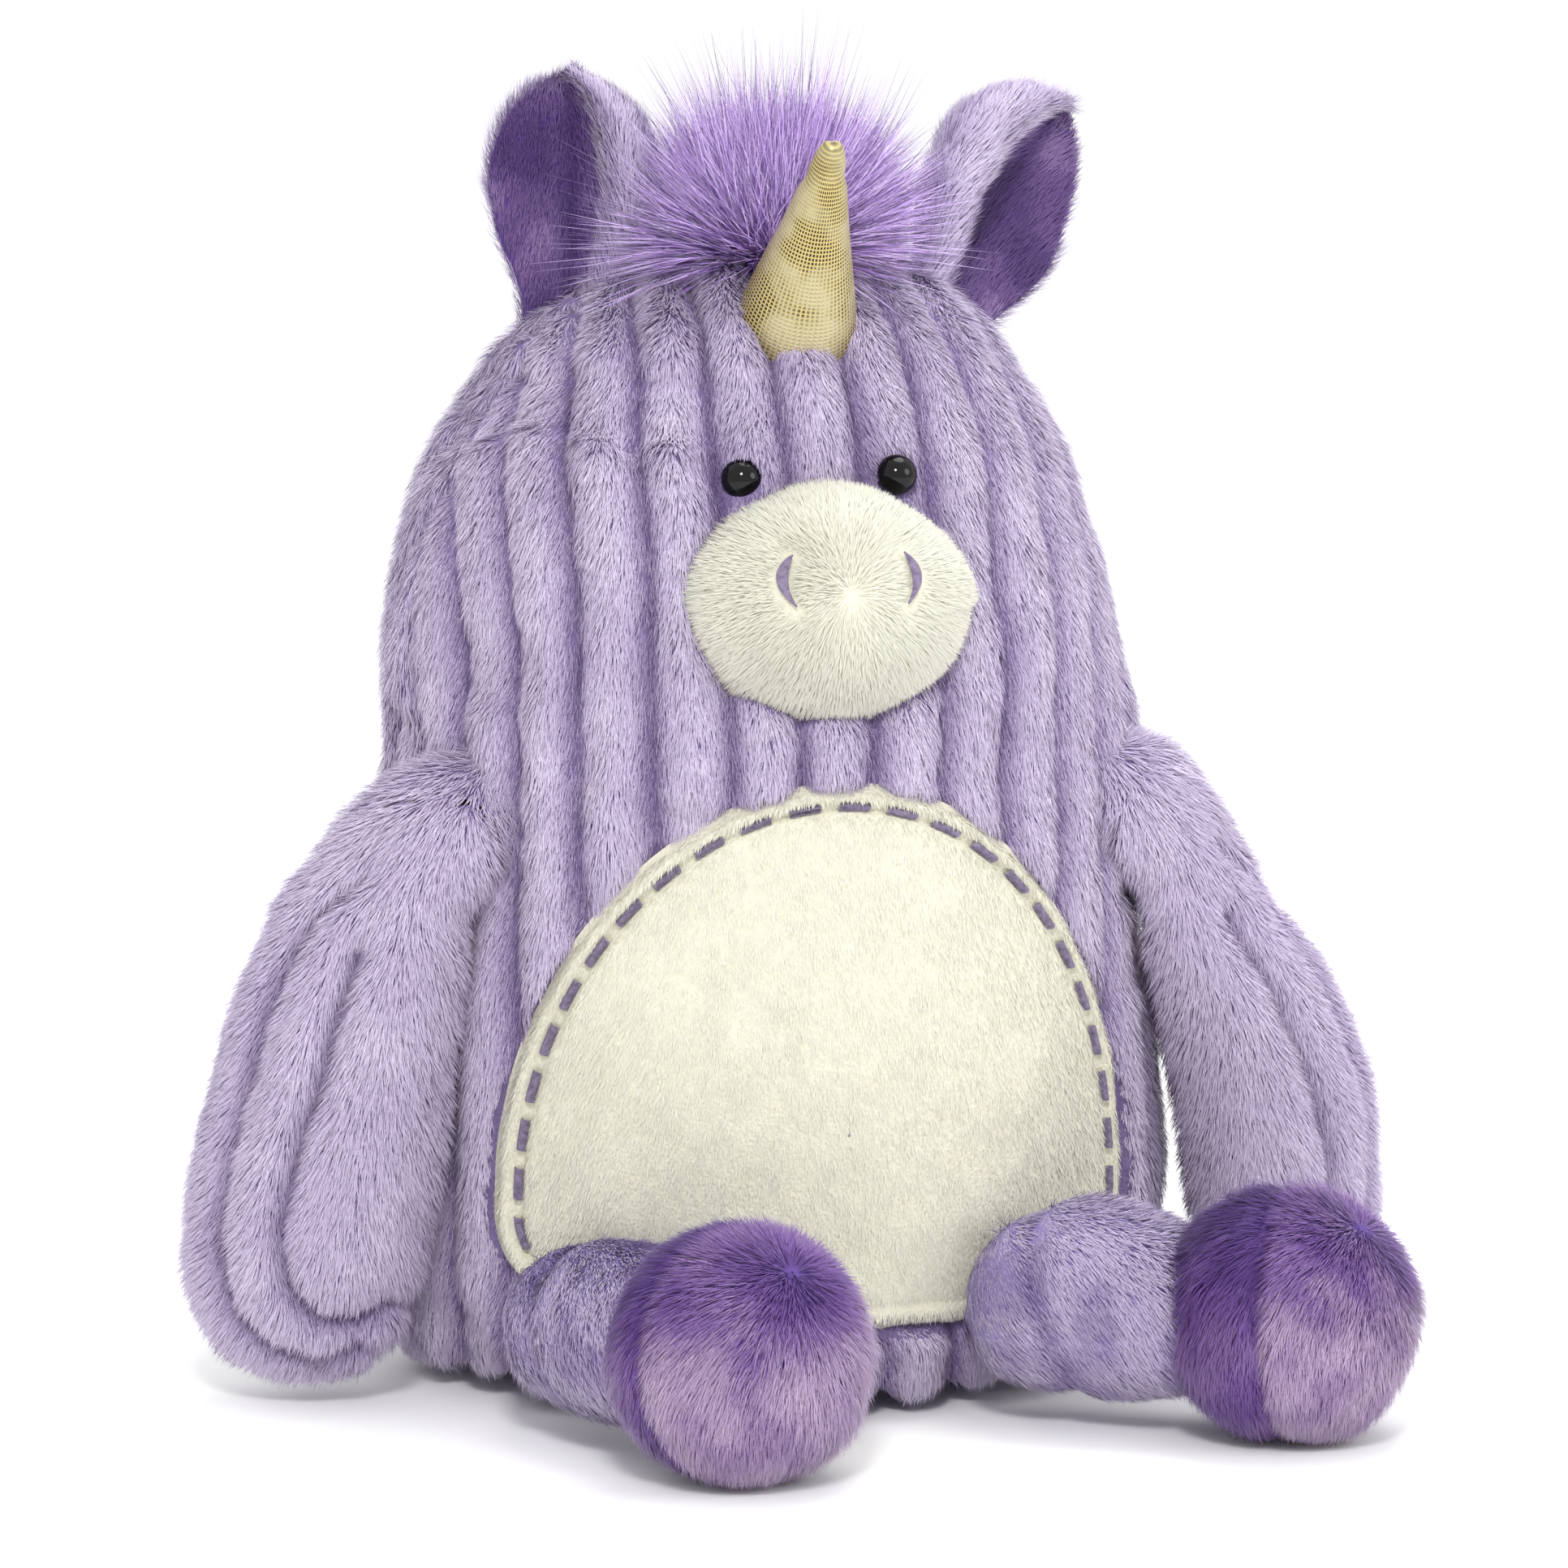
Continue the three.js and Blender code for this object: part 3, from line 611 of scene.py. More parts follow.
def belly_line(inset, count=240):
    """The belly patch's edge, from the lower left round the top to the lower right, in x and z."""
    angle = np.linspace(np.pi, 0, count)
    across, up = BELLY_HALF_WIDTH - inset, BELLY_TOP - inset - BELLY_WAIST
    arch = np.stack([across * np.cos(angle), BELLY_WAIST + up * np.sin(angle)], -1)
    foot = BELLY_WAIST - BELLY_BOTTOM - inset
    turn = np.linspace(0, np.pi / 2, count // 3)[1:]
    lower = np.stack([across * np.cos(turn) ** 0.5, BELLY_WAIST - foot * np.sin(turn) ** 0.7], -1)
    return np.vstack([(lower * (-1, 1))[::-1], arch, lower])


BELLY_EDGE = belly_line(0)


def inside_belly(x, z):
    share = np.clip(1 - (x / BELLY_HALF_WIDTH) ** 2, 0, 1)
    top = BELLY_WAIST + (BELLY_TOP - BELLY_WAIST) * np.sqrt(share)
    low = BELLY_WAIST - (BELLY_WAIST - BELLY_BOTTOM) * np.clip(1 - (x / BELLY_HALF_WIDTH) ** 4, 0, 1) ** 0.35
    return (np.abs(x) < BELLY_HALF_WIDTH) & (z > low) & (z < top)


def muzzle_share(x, z):
    """Under 1 inside the muzzle's outline on the face."""
    return np.sqrt((x / (MUZZLE_WIDTH / 2)) ** 2 + ((z - MUZZLE_Z) / (MUZZLE_HEIGHT / 2)) ** 2)


def body_grid(columns, rows, low_r=0.3):
    start = np.searchsorted(outline[:, 0] > low_r, True)
    profile = outline[start:]
    length = run_along(profile)
    even = np.linspace(0, length[-1], rows)
    r, z = (np.interp(even, length, profile[:, k]) for k in range(2))
    angle = np.linspace(-np.pi, np.pi, columns, endpoint=False)
    angle, r = np.meshgrid(angle, r)
    z = np.broadcast_to(z[:, None], r.shape)
    points = np.stack([r * np.sin(angle), lean_at(z) - BODY_FLATNESS * r * np.cos(angle), z], -1)
    return Skin(points, True), angle, r, z


def build_body():
    skin, angle, r, z = body_grid(560, 190)
    place = skin.points
    x = place[..., 0]
    front = np.abs(angle) < SIDE_SEAM
    arc = r * np.interp(np.where(front, np.abs(angle), np.pi - np.abs(angle)), ARC_ANGLE, ARC) * np.sign(angle)
    arc += 1.6 * noise(place * (1, 1, 0.55), 26, 3) + 1.4 * noise(place * (1, 1, 0.3), 60, 4)
    phase = arc / (RIB_PITCH * np.interp(z, *np.array(RIB_NARROWING).T)) + np.where(front, 0, 0.5)
    crest = np.abs(np.cos(np.pi * phase)) ** 0.62
    side_seam = bell((np.abs(angle) - SIDE_SEAM) * r, 2.4)
    back_seam = bell((np.pi - np.abs(angle)) * r, 2.0)
    seam = np.maximum(side_seam, back_seam) * ramp(r, 8, 30)

    on_front = front & (place[..., 1] < 10)
    edge = distance_to_line(np.stack([x, z], -1), BELLY_EDGE)
    depth_in = np.where(inside_belly(x, z) & on_front, edge, -edge)
    under_patch = np.where(on_front, ramp(depth_in, -1.0, 2.0), 0)
    muzzle = np.where(on_front & (z > 140), ramp(muzzle_share(x, z), 0.78, 1.05), 1)
    eye_gap = np.where(on_front, np.hypot(np.abs(x) - EYE_X, z - EYE_Z), 99)
    eye_dip = bell(eye_gap, 8.5)

    pinch = ramp(noise(place * (0.6, 0.6, 1), 19, 8), 0.35, 0.85)
    armpit = bell(np.abs(x) - 86, 22) * bell(z - 118, 26) * (place[..., 1] < 20)
    folds = np.abs(np.sin((z + 0.5 * np.abs(x)) / 7.5 + 2 * noise(place, 30, 9)))
    height = -SKIN_INSET + RIB_HEIGHT * crest * (1 - 0.35 * pinch) - 1.2 * pinch
    height += 2.0 * noise(place, 46, 5) + 0.8 * noise(place, 21, 6)
    height += 4.0 * bell(x + 62, 30) * bell(z - 212, 30)
    height -= 3.0 * seam + 2.2 * eye_dip + 2.6 * armpit * (1 - folds)
    near_floor = ramp(z, 0, 9)
    height = height * near_floor - (1 - near_floor) * 3.0
    height = np.where(z < 0.5, np.minimum(height, -0.5), height)
    height = height * (1 - under_patch) + under_patch * -4.0
    height -= (1 - muzzle) * 2.5
    height = height * ramp(r, 1, 16) - (1 - ramp(r, 1, 16)) * 2.5
    skin.push(height)
    skin.points[..., 2] = np.maximum(skin.points[..., 2], 0.6 + 0.2 * (r / 90))
    skin.refresh()

    away = unit(np.stack([np.cos(angle), BODY_FLATNESS * np.sin(angle), 0 * angle], -1))
    fall = -np.sign(np.sin(2 * np.pi * phase)) * ramp(1 - crest, 0.0, 0.5) * 0.45
    skin.comb_down(away * fall[..., None])
    brushed = ramp(noise(place * (1, 1, 0.45), 15, 21), 0.1, 0.9)
    # Painted light and shade of the ribs: paler on the crests, darker in the valleys and in the seams' grooves.
    # The brushed patches are random darker tone, made deeper in the valleys as painted shade.
    skin.shade = 0.15 + 0.70 * crest**0.8 - 0.15 * brushed * (0.3 + 0.7 * (1 - crest)) - 0.3 * seam
    skin.shade -= 0.06 * ramp(z, 196, 236) * ramp(noise(place, 12, 22), -0.2, 0.8) * on_front
    # Painted shade round the sunk eyes and in the dips about them.
    skin.shade -= 0.28 * bell(eye_gap, 7.5) + 0.1 * eye_dip
    bare = (eye_gap < EYE_RADIUS - 0.2) | (on_front & ((depth_in > -0.4) | (muzzle_share(x, z) < 0.93)))
    skin.grow = np.where(bare, 0, 1 - 0.30 * (1 - crest) - 0.35 * eye_dip)
    skin.grow *= ramp(z, 1.0, 6.0) * ramp(r, 3, 7)

    back, above = ~front, z >= BASE_SEAM - 2
    panels = {
        "front": (np.abs(angle) <= SIDE_SEAM + 0.02) & above,
        "back_left": back & (angle < 0) & above,
        "back_right": (back & (angle > 0) | (angle < -3.13)) & above,
    }
    for part, keep in panels.items():
        add_skin(f"body_{part}_skin", skin, "body", "body", f"body_{part}_panel", keep)
    add_skin("base_skin", skin, "body", "body", "base_panel", keep=z <= BASE_SEAM)
    patches = {
        "front_left": (panels["front"] & (angle <= 0.01), FRONT_DENSITY),
        "front_right": (panels["front"] & (angle >= -0.01), FRONT_DENSITY),
        "back_left": (panels["back_left"], BACK_DENSITY),
        "back_right": (panels["back_right"], BACK_DENSITY),
    }
    seed = 100
    for part, (keep, density) in patches.items():
        for level, rows in (("upper", z >= PILE_PARTING - 1), ("lower", z <= PILE_PARTING + 1)):
            add_pile(f"body_{part}_{level}_pile", skin, "body", "body", density, keep=keep & rows, seed=seed)
            seed += 20
    low = (z <= BASE_SEAM + 4) & (r > 60)
    add_pile("base_pile", skin, "body", "body", 0.9, length=5, keep=low, seed=290)

    inner, _, r, z = body_grid(64, 40, 1.0)
    inner.push(-9 - 3.5 * ramp(r, 0, 40))
    add_skin("body_fill", inner, "fill", "body", "body_stuffing", z >= 38)
    add_skin("pellet_bag", inner, "pellets", "body", "pellet_pouch", z <= 42)


def build_belly():
    steps = np.linspace(0.004, 1, 92) ** 0.85
    flat = np.array(BELLY_MIDDLE) + steps[:, None, None] * (BELLY_EDGE - BELLY_MIDDLE)
    x, z = flat[..., 0], flat[..., 1]
    skin = Skin(front_point(x, z), True)
    place = skin.points
    skin.face(place - (0, 0, 70))
    edge = distance_to_line(flat, BELLY_EDGE)
    puff = bell(edge - 3.2, 2.1)
    sewn = bell(edge - STITCH_INSET, 1.3) * ramp(z, BELLY_BOTTOM + 4, BELLY_BOTTOM + 12)
    height = -1.4 + 2.6 * ramp(edge, 0, 4) + 0.9 * puff * (1 + 0.5 * noise(place, 7.5, 41)) - 1.9 * sewn
    height += 1.3 * ramp(edge, 8, 26) + 0.9 * noise(place, 38, 42) * ramp(edge, 6, 20)
    height += 0.2 * noise(place, 12, 43)
    skin.push(height)
    skin.comb_down(np.stack([np.sign(x) * 0.25 * ramp(np.abs(x), 20, 70), 0 * x, 0 * x], -1))
    # Painted shade in the sewn groove and at the sunk edge of the patch.
    skin.shade = 0.86 + 0.03 * noise(place, 14, 44) - 0.45 * sewn - 0.25 * (1 - ramp(edge, 0, 2.5))
    skin.grow = (1 - 0.45 * sewn) * ramp(edge, -0.5, 1.5)
    add_skin("belly_patch_skin", skin, "cream", "body", "belly_patch")
    add_pile("belly_pile", skin, "cream", "body", 3.9, length=2.6, width=0.28, rise=0.34, seed=300, clump=0.07,
             stray=0.08)

    line = belly_line(STITCH_INSET, 600)
    run = run_along(line)

    def at(length):
        return np.array([np.interp(length, run, line[:, k]) for k in range(2)])

    arch = np.linspace(-1, 1, 5)
    routes = []
    for start in np.arange(DASH_START, run[-1] - DASH, DASH + DASH_GAP):
        if at(start + DASH / 2)[1] < BELLY_BOTTOM + 14:
            continue
        for spot in np.linspace(start, start + DASH, DASH_BARS):
            along = unit(at(spot + 0.5) - at(spot))
            across = np.array([-along[1], along[0]]) + 0.25 * along
            x, z = (at(spot) + across * arch[:, None] * 0.9).T
            rise = 0.5 + 1.1 * (1 - arch**2)
            routes.append(front_point(x, z) + front_normal(x, z) * rise[:, None])
    add_threads("belly_stitching", routes, 0.27, "stitch", "belly_running_stitch")


# ---------------------------------------------------------------- face
def muzzle_point(direction_x, direction_z, reach):
    """A point on the muzzle: reach is 0 at its front and pi / 2 at its widest."""
    middle = front_point(0, MUZZLE_Z)
    x = MUZZLE_WIDTH / 2 * np.sin(reach) * direction_x
    z = MUZZLE_HEIGHT / 2 * np.sin(reach) * direction_z
    y = middle[1] + MUZZLE_SINK - MUZZLE_DEPTH / 2 * np.cos(reach)
    return np.stack([x, y + 0 * x, MUZZLE_Z + z], -1)


def muzzle_front(x, z):
    inside = 1 - (x / (MUZZLE_WIDTH / 2)) ** 2 - ((z - MUZZLE_Z) / (MUZZLE_HEIGHT / 2)) ** 2
    return front_point(0, MUZZLE_Z)[1] + MUZZLE_SINK - MUZZLE_DEPTH / 2 * np.sqrt(np.maximum(inside, 0))


def build_muzzle():
    angle, reach = np.meshgrid(around(160), np.linspace(0.01, 1.95, 64))
    corner = 1 + 0.035 * (bell(angle, 0.5) + bell(angle - np.pi, 0.5))
    chin = 1 + 0.04 * bell(angle - 1.5 * np.pi, 0.5)
    skin = Skin(muzzle_point(np.cos(angle) * corner, np.sin(angle) * chin, reach), True)
    skin.face((0, -1, 0), 20)
    place = skin.points
    x, z = np.abs(place[..., 0]), place[..., 2]
    spot = np.hypot(x - NOSTRIL_X - 1, (z - NOSTRIL_Z) * 0.6)
    height = -2.0 + 0.7 * noise(place, 20, 51) + 0.25 * noise(place, 8, 52)
    skin.push(height - 0.9 * bell(spot, 4.5) * (reach < 1.4))
    flow = unit((place - [0, 0, MUZZLE_Z + MUZZLE_PARTING]) * (1, 0, 1))
    skin.comb_down(flow + ramp(reach, 0.5, 1.3)[..., None] * [0, 0.9, 0], pull=(0, 0, -0.3))
    # Darker round the rim: painted shade where the muzzle meets the face.
    skin.shade = 0.9 + 0.1 * noise(place, 10, 53) - 0.35 * ramp(reach, 1.45, 1.8)
    bow = NOSTRIL_BOW * (1 - np.clip((z - NOSTRIL_Z) / (NOSTRIL_HEIGHT / 2), -1, 1) ** 2)
    off = np.hypot(x - NOSTRIL_X - bow, np.maximum(np.abs(z - NOSTRIL_Z) - NOSTRIL_HEIGHT / 2, 0))
    near = np.where(reach < 1.4, off, 99)
    skin.grow = np.where(near < 1.2, 0, ramp(near, 1.3, 4.5) * 0.85 + 0.15)
    add_cloth("muzzle", skin, "cream", "body", "muzzle_cover", 0.8, 6.0, length=3.6, rise=0.4, seed=330,
              clump=0.06, stray=0.09)
    inner = muzzle_point(np.cos(angle), np.sin(angle), reach)[::4, ::4]
    add_fill("muzzle", inner, skin.flip, 6.0, "body")

    across = np.linspace(-1, 1, 5)
    for name, side in SIDES.items():
        routes = []
        for step in np.linspace(-1, 1, 36):
            half = 1.15 * (1 - step**2) ** 0.7 + 0.1
            x = side * (NOSTRIL_X + NOSTRIL_BOW * (1 - step**2)) + across * half
            z = NOSTRIL_Z + step * NOSTRIL_HEIGHT / 2 + across * half * 0.35 * side
            lift = 1.0 + 0.35 * (1 - across**2)
            routes.append(np.stack([x, muzzle_front(x, z) + 2.4 - lift, z], -1))
        add_threads(f"{name}_nostril_stitching", routes, 0.24, "nostril", f"{name}_nostril")


def turned(profile, sides, right=(1, 0, 0), up=(0, 1, 0), axis=(0, 0, 1)):
    """A grid of points turned round an axis from a profile of radius and place along the axis."""
    profile, angle = np.asarray(profile, float), around(sides)[:, None]
    ring = np.cos(angle) * right + np.sin(angle) * up
    return profile[:, 0, None, None] * ring + profile[:, 1, None, None] * np.asarray(axis, float)


def build_eyes():
    for name, side in SIDES.items():
        place, toward = front_point(side * EYE_X, EYE_Z), front_normal(side * EYE_X, EYE_Z)
        right = unit(np.cross(toward, (0, 0, 1)))
        axes = right, np.cross(right, toward), toward
        turn = np.linspace(0.001, np.pi / 2, 22)
        dome = [(EYE_RADIUS * math.sin(t), EYE_RADIUS * 0.95 * math.cos(t) + 0.6) for t in turn]
        stem = [(EYE_RADIUS * 0.97, -0.5), (EYE_RADIUS * 0.6, -1.1), (1.5, -1.3), (1.5, -9), (0.01, -9.2)]
        eye = Skin(turned(dome + stem, 48, *axes) + place, True)
        eye.face(toward, 10)
        add_skin(f"{name}_eye_bead", eye, "eye", "body", f"{name}_eye")
        ring = [(1.7, -9.5), (5.2, -9.8), (5.5, -10.4), (5.2, -11), (1.7, -11.2), (1.7, -9.5)]
        washer = Skin(turned(ring, 32, *axes) + place, True, True)
        add_skin(f"{name}_eye_lock_washer", washer, "washer", "body", f"{name}_eye_washer")


def build_horn():
    profile = smooth_curve(HORN_OUTLINE, 90)
    spin = around(96)
    r, up = profile[:, :1], profile[:, 1:] + 0 * spin
    local = turned(profile, 96)
    place, tilt = front_point(0, HORN_Z), turn_x(HORN_TILT).T
    skin = Skin(local @ tilt + place, True)
    dents = noise(local * (1, 1, 0.5), 13, 61) * 0.55 * ramp(r, 1, 7)
    crease = bell(up - 44 + 4 * np.sin(spin), 2.2) * ramp(r, 1, 3)
    seam = bell((spin - np.pi / 2) * r, 1.2)
    skin.push(dents - 0.5 * crease - 0.5 * seam)
    uv = np.stack([np.broadcast_to(spin / (2 * np.pi), up.shape), up / HORN_LENGTH], -1)
    add_skin("horn_net_cone", skin, "horn", "horn", "horn_cover", uv=uv)
    add_fill("horn", (local[::4, ::4] * (0.8, 0.8, 0.93)) @ tilt + place, False, 0, "horn")


# ---------------------------------------------------------------- ears
EAR_LINING = [(-1.0, 0.3), (-0.8, -1.2), (-0.45, -3.6), (-0.1, -5.6), (0.2, -3.6), (0.42, 0.2), (0.47, 3.2)]
EAR_BACK = [
    (0.47, 3.2), (0.56, 6.2), (0.74, 7.6), (0.94, 5.8), (1.04, 2.0), (0.98, -2.4), (0.72, -6.4), (0.3, -9.4),
    (-0.15, -9.8), (-0.55, -7.2), (-0.88, -3.4), (-1.04, -0.8), (-1.0, 0.3),
]
EAR_LEAF = [
    (0.0, 0.52), (0.12, 0.66), (0.3, 0.88), (0.48, 1.0), (0.64, 0.96), (0.8, 0.76), (0.91, 0.5), (1.0, 0.06),
]


def build_ears():
    for name, side in SIDES.items():
        turn = turn_z(side * EAR_TURN[name]) @ turn_y(side * EAR_LEAN[name])
        place = np.array([side * EAR_X[name], lean_at(EAR_Z), EAR_Z])
        rise = np.linspace(-0.14, 1, 44)[:, None]
        leaf = np.interp(np.maximum(rise, 0), *np.array(EAR_LEAF).T)
        for part, section, kind in (("lining", EAR_LINING, "ear"), ("back", EAR_BACK, "body")):
            wide, deep = smooth_curve(section, 46).T
            across = wide * leaf * EAR_HALF_WIDTH[name]
            bend = 3.0 * np.sin(np.clip(rise, 0, 1) * np.pi)
            forward = bend - deep * (0.35 + 0.65 * leaf)
            up = rise * (EAR_HEIGHT[name] - 3) + 0 * across
            points = np.stack([-side * across, forward, up], -1) @ turn.T + place
            skin = Skin(points, False, flip=side > 0)
            ahead = turn @ (0, -1, 0)
            skin.face(ahead if part == "lining" else -ahead, np.s_[:, 20:26])
            skin.push(0.5 * noise(points, 9, 71 + side))
            skin.comb_down(pull=turn @ (0, 0, 1))
            step = np.linspace(0, 1, 46)
            if part == "lining":
                fold = bell(wide + 0.1, 0.16)
                # Painted shade in the lining's fold; the lining also gets paler towards the tip.
                skin.shade = 0.62 - 0.5 * fold + 0.25 * noise(points, 10, 72) + 0.12 * ramp(rise, 0.5, 1)
                skin.grow = np.full(across.shape, 0.95)
                length, density = 4.2, 5.0
            else:
                # The back's ribs are not modelled: their light and shade are painted on in stripes.
                ribs = np.abs(np.cos(np.pi * step * 4.5))
                skin.shade = 0.5 + 0.32 * ribs + 0.16 * noise(points, 12, 73)
                rim = bell(step, 0.12) + bell(1 - step, 0.1)
                skin.grow = 0.85 + 0.35 * rim + 0 * across
                length, density = 5.8, 4.4
            node = f"{name}_ear_{part}"
            add_cloth(node, skin, kind, f"{name}_ear", node, None, density, length=length, width=0.28,
                      rise=0.6, seed=400 + 31 * side + len(part), clump=0.16)


# ---------------------------------------------------------------- long fibres
def add_locks(name, roots, directions, lengths, body, seed, per_lock, width, spread, gravity, tones=(0.15, 0.95)):
    """Long loose fibres in locks: each lock has its own direction and curl, which its fibres share."""
    rng = np.random.default_rng(seed)
    locks = len(roots)
    count = locks * per_lock
    lock = np.repeat(np.arange(locks), per_lock)
    root = roots[lock] + rng.normal(0, 1.3, (count, 3)) * (1, 1, 0.2)
    aim = unit(directions[lock] + rng.normal(0, spread, (count, 3)))
    size = (lengths[lock] * rng.uniform(0.6, 1.12, count))[:, None]
    curl = unit(rng.normal(0, 1, (locks, 3)))[lock]
    bend = curl * 0.16 - [0, 0, gravity]
    spine = [root + size * (aim * t + bend * t**2) for t in (0, 0.3, 0.62, 1)]
    side = unit(np.cross(aim, unit(rng.normal(0, 1, (count, 3)))))
    half = (0.4, 0.5, 0.35)
    edges = [spine[k] + side * edge * half[k] for k in range(3) for edge in (-width, width)]
    vertices = np.stack([*edges, spine[3]], 1)
    first = np.arange(count)[:, None] * 7
    faces = [first + np.array(k) for k in ([0, 1, 3, 2], [2, 3, 5, 4], [4, 5, 6])]
    tone = rng.normal(0, 0.1, count) + rng.normal(0, 0.08, locks)[lock]
    index = [shade_number(tones[0] + (tones[1] - tones[0]) * t + tone, "mane") for t in (0.12, 0.5, 0.92)]
    facing = unit(np.cross(side, aim) * 0.4 + aim * 0.35 + np.array([0, -0.2, 0.6]))
    return make_piece(
        name, vertices.reshape(-1, 3), faces, FIBRES["mane"], body,
        index=np.concatenate(index), normals=np.repeat(facing, 7, 0),
    )


def build_mane():
    rng = np.random.default_rng(77)
    locks = 340
    spin, tilt = rng.uniform(0, 2 * np.pi, locks), np.abs(rng.normal(0, 0.8, locks))
    tilt = np.minimum(tilt, 1.45)
    directions = np.stack(
        [np.sin(tilt) * np.cos(spin), 0.55 * np.sin(tilt) * np.sin(spin) + 0.08, np.cos(tilt)], -1
    )
    place = np.array([0, MANE_Y, MANE_TOP])
    near, far = np.sqrt(rng.random((2, locks)))
    roots = place + np.stack([12 * np.cos(spin) * near, 8 * np.sin(spin) * far, 0 * spin - 4], -1)
    lengths = rng.uniform(28, 44, locks) * (1 - 0.08 * tilt)
    lengths[:16] = rng.uniform(44, 54, 16)
    directions[:14] = unit(directions[:14] * (0.6, 1, 1) + [0, 0, 0.8])
    tuft = add_locks("mane_tuft_fibres", roots, unit(directions), lengths, "mane", 78, 100, width=FIBRE,
                     spread=0.3, gravity=0.06)
    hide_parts("mane_tuft")
    dome = smooth_curve([(12, -9), (12.4, -6), (11, -2.5), (6, -0.8), (0.05, -0.4)], 14)
    add_skin("mane_backing_patch", Skin(turned(dome, 40) + place, True), "backing", "body", "mane_backing")


def build_tail():
    rng = np.random.default_rng(81)
    locks = 130
    profile = smooth_curve([(0.05, 5), (4, 4), (7, 0), (10.5, -12), (13, -26), (9, -42), (0.05, -50)], 26)
    spin = around(40)
    r, up = profile[:, :1], profile[:, 1:] + 0 * spin
    points = np.stack([r * np.cos(spin), r * np.sin(spin) * 0.7 + np.maximum(-up, 0) * 0.16, up], -1)
    skin = Skin(points + TAIL_AT, True, True)
    skin.push(0.8 * noise(points, 9, 82))
    skin.comb_down()
    skin.shade = 0.45 + 0.3 * noise(points, 8, 83)
    add_skin("tail_core", skin, "mane", "tail", "tail")
    row, column = rng.integers(1, 20, locks), rng.integers(0, 40, locks)
    roots = skin.points[row, column]
    directions = unit(skin.comb[row, column] + skin.normals[row, column] * 0.12)
    reach = np.minimum(rng.uniform(16, 27, locks), roots[:, 2] - 4)
    add_locks("tail_fibres", roots, directions, np.maximum(reach, 8), "tail", 84, 46, width=0.46,
              spread=0.14, gravity=0.05, tones=(0.2, 0.8))


# ---------------------------------------------------------------- arms
# Sewn lines on the front of the left arm, as across and up from the shoulder; across is negative outwards.
ARM_SEAM = [
    (-7, -2), (-13, -16), (-16, -34), (-17.5, -60), (-18, -86), (-14, -106), (-6, -115), (4, -118), (14, -114),
]
ARM_VALLEY = [(2, -18), (0, -40), (-2, -62), (-3.5, -84), (-1, -99), (6, -107), (14, -108), (21, -104)]


def build_arms():
    for name, side in SIDES.items():
        profile = smooth_curve(ARM_OUTLINE, 300)
        run = run_along(profile)
        even = np.linspace(0.4, run[-1] - 0.4, 96)
        wide, up = (np.interp(even, run, profile[:, k]) for k in range(2))
        spin = around(132)
        swell = np.interp(up, *np.array(ARM_SWELL[name], float).T)
        wide = wide + 0.5 * swell * ramp(wide, 0, 9)
        across, through = wide[:, None] * np.cos(spin), wide[:, None] * np.sin(spin)
        up, swell = up[:, None] + 0 * spin, swell[:, None] + 0 * spin
        down = np.clip(-up / ARM_LENGTH, 0, 1)
        flat = 0.66 + (ARM_FLATNESS - 0.66) * ramp(down, 0, 0.4)
        lateral = side * across
        inward = 0.45 * np.maximum(up + 10, 0)
        x = across + side * (ARM_OUTWARD * (1 - (1 - down) ** 2) + 0.5 * swell - inward)
        through = through + 0.55 * np.maximum(up + 16, 0)
        turn = turn_y(-side * ARM_SPREAD[name]) @ turn_z(side * ARM_TURN)
        local = np.stack([x, through * flat, up * np.where(up < 0, 0.955, 1)], -1)
        points = local @ turn.T + np.multiply(ARM_ROOT, (side, 1, 1))
        skin = Skin(points, True)
        skin.face(points[40] - points[40].mean(0), 40)
        is_front = through < 0
        sheet = np.stack([-lateral, up], -1)
        seam_gap, valley_gap = distance_to_line(sheet, ARM_SEAM), distance_to_line(sheet, ARM_VALLEY)
        seam = bell(seam_gap, 2.1) * is_front
        valley = bell(valley_gap, 2.5) * is_front
        back_ribs = 1 - np.abs(np.cos(np.pi * across / RIB_PITCH)) ** 0.6
        groove = np.where(is_front, np.maximum(seam, valley), back_ribs * 0.9 * ramp(down, 0.02, 0.2))
        height = -0.6 + 0.8 * ramp(down, 0.05, 0.4) - 4.0 * groove + 1.1 * noise(local, 22, 91 + side)
        height += 0.9 * np.where(is_front, ramp(np.minimum(seam_gap, valley_gap), 2, 8), 0)
        height *= ramp(wide[:, None], 0, 8)
        skin.push(height)
        shift = 0.35 * np.sign(lateral) * ramp(np.abs(lateral), 4, 18)
        skin.comb_down(shift[..., None] * (turn @ (side, 0, 0)), pull=(side * 0.3, 0.35, -1))
        mottle = noise(local * (1, 1, 0.4), 11, 95 + side)
        # Painted shade in the grooves: the front's seam and valley and the back's ribs.
        skin.shade = 0.80 - 0.50 * groove + 0.06 * mottle
        skin.shade -= 0.18 * ramp(mottle, 0.1, 0.9) * ramp(down, 0.05, 0.25) * (1 - 0.3 * is_front)
        skin.grow = 1.02 - 0.25 * groove
        stem = f"{name}_arm"
        for part, keep, density in (("front", through <= 0.6, 4.4), ("back", through >= -0.6, 2.4)):
            add_cloth(f"{stem}_{part}", skin, "body", stem, f"{stem}_{part}_panel", 0.7, density, keep,
                      length=5.8, seed=500 + 17 * side + len(part))
        depth = 8.0 * ramp(wide[::6, None] + 0 * spin[::6], 0, 14)
        add_fill(stem, points[::6, ::6], skin.flip, depth, stem)


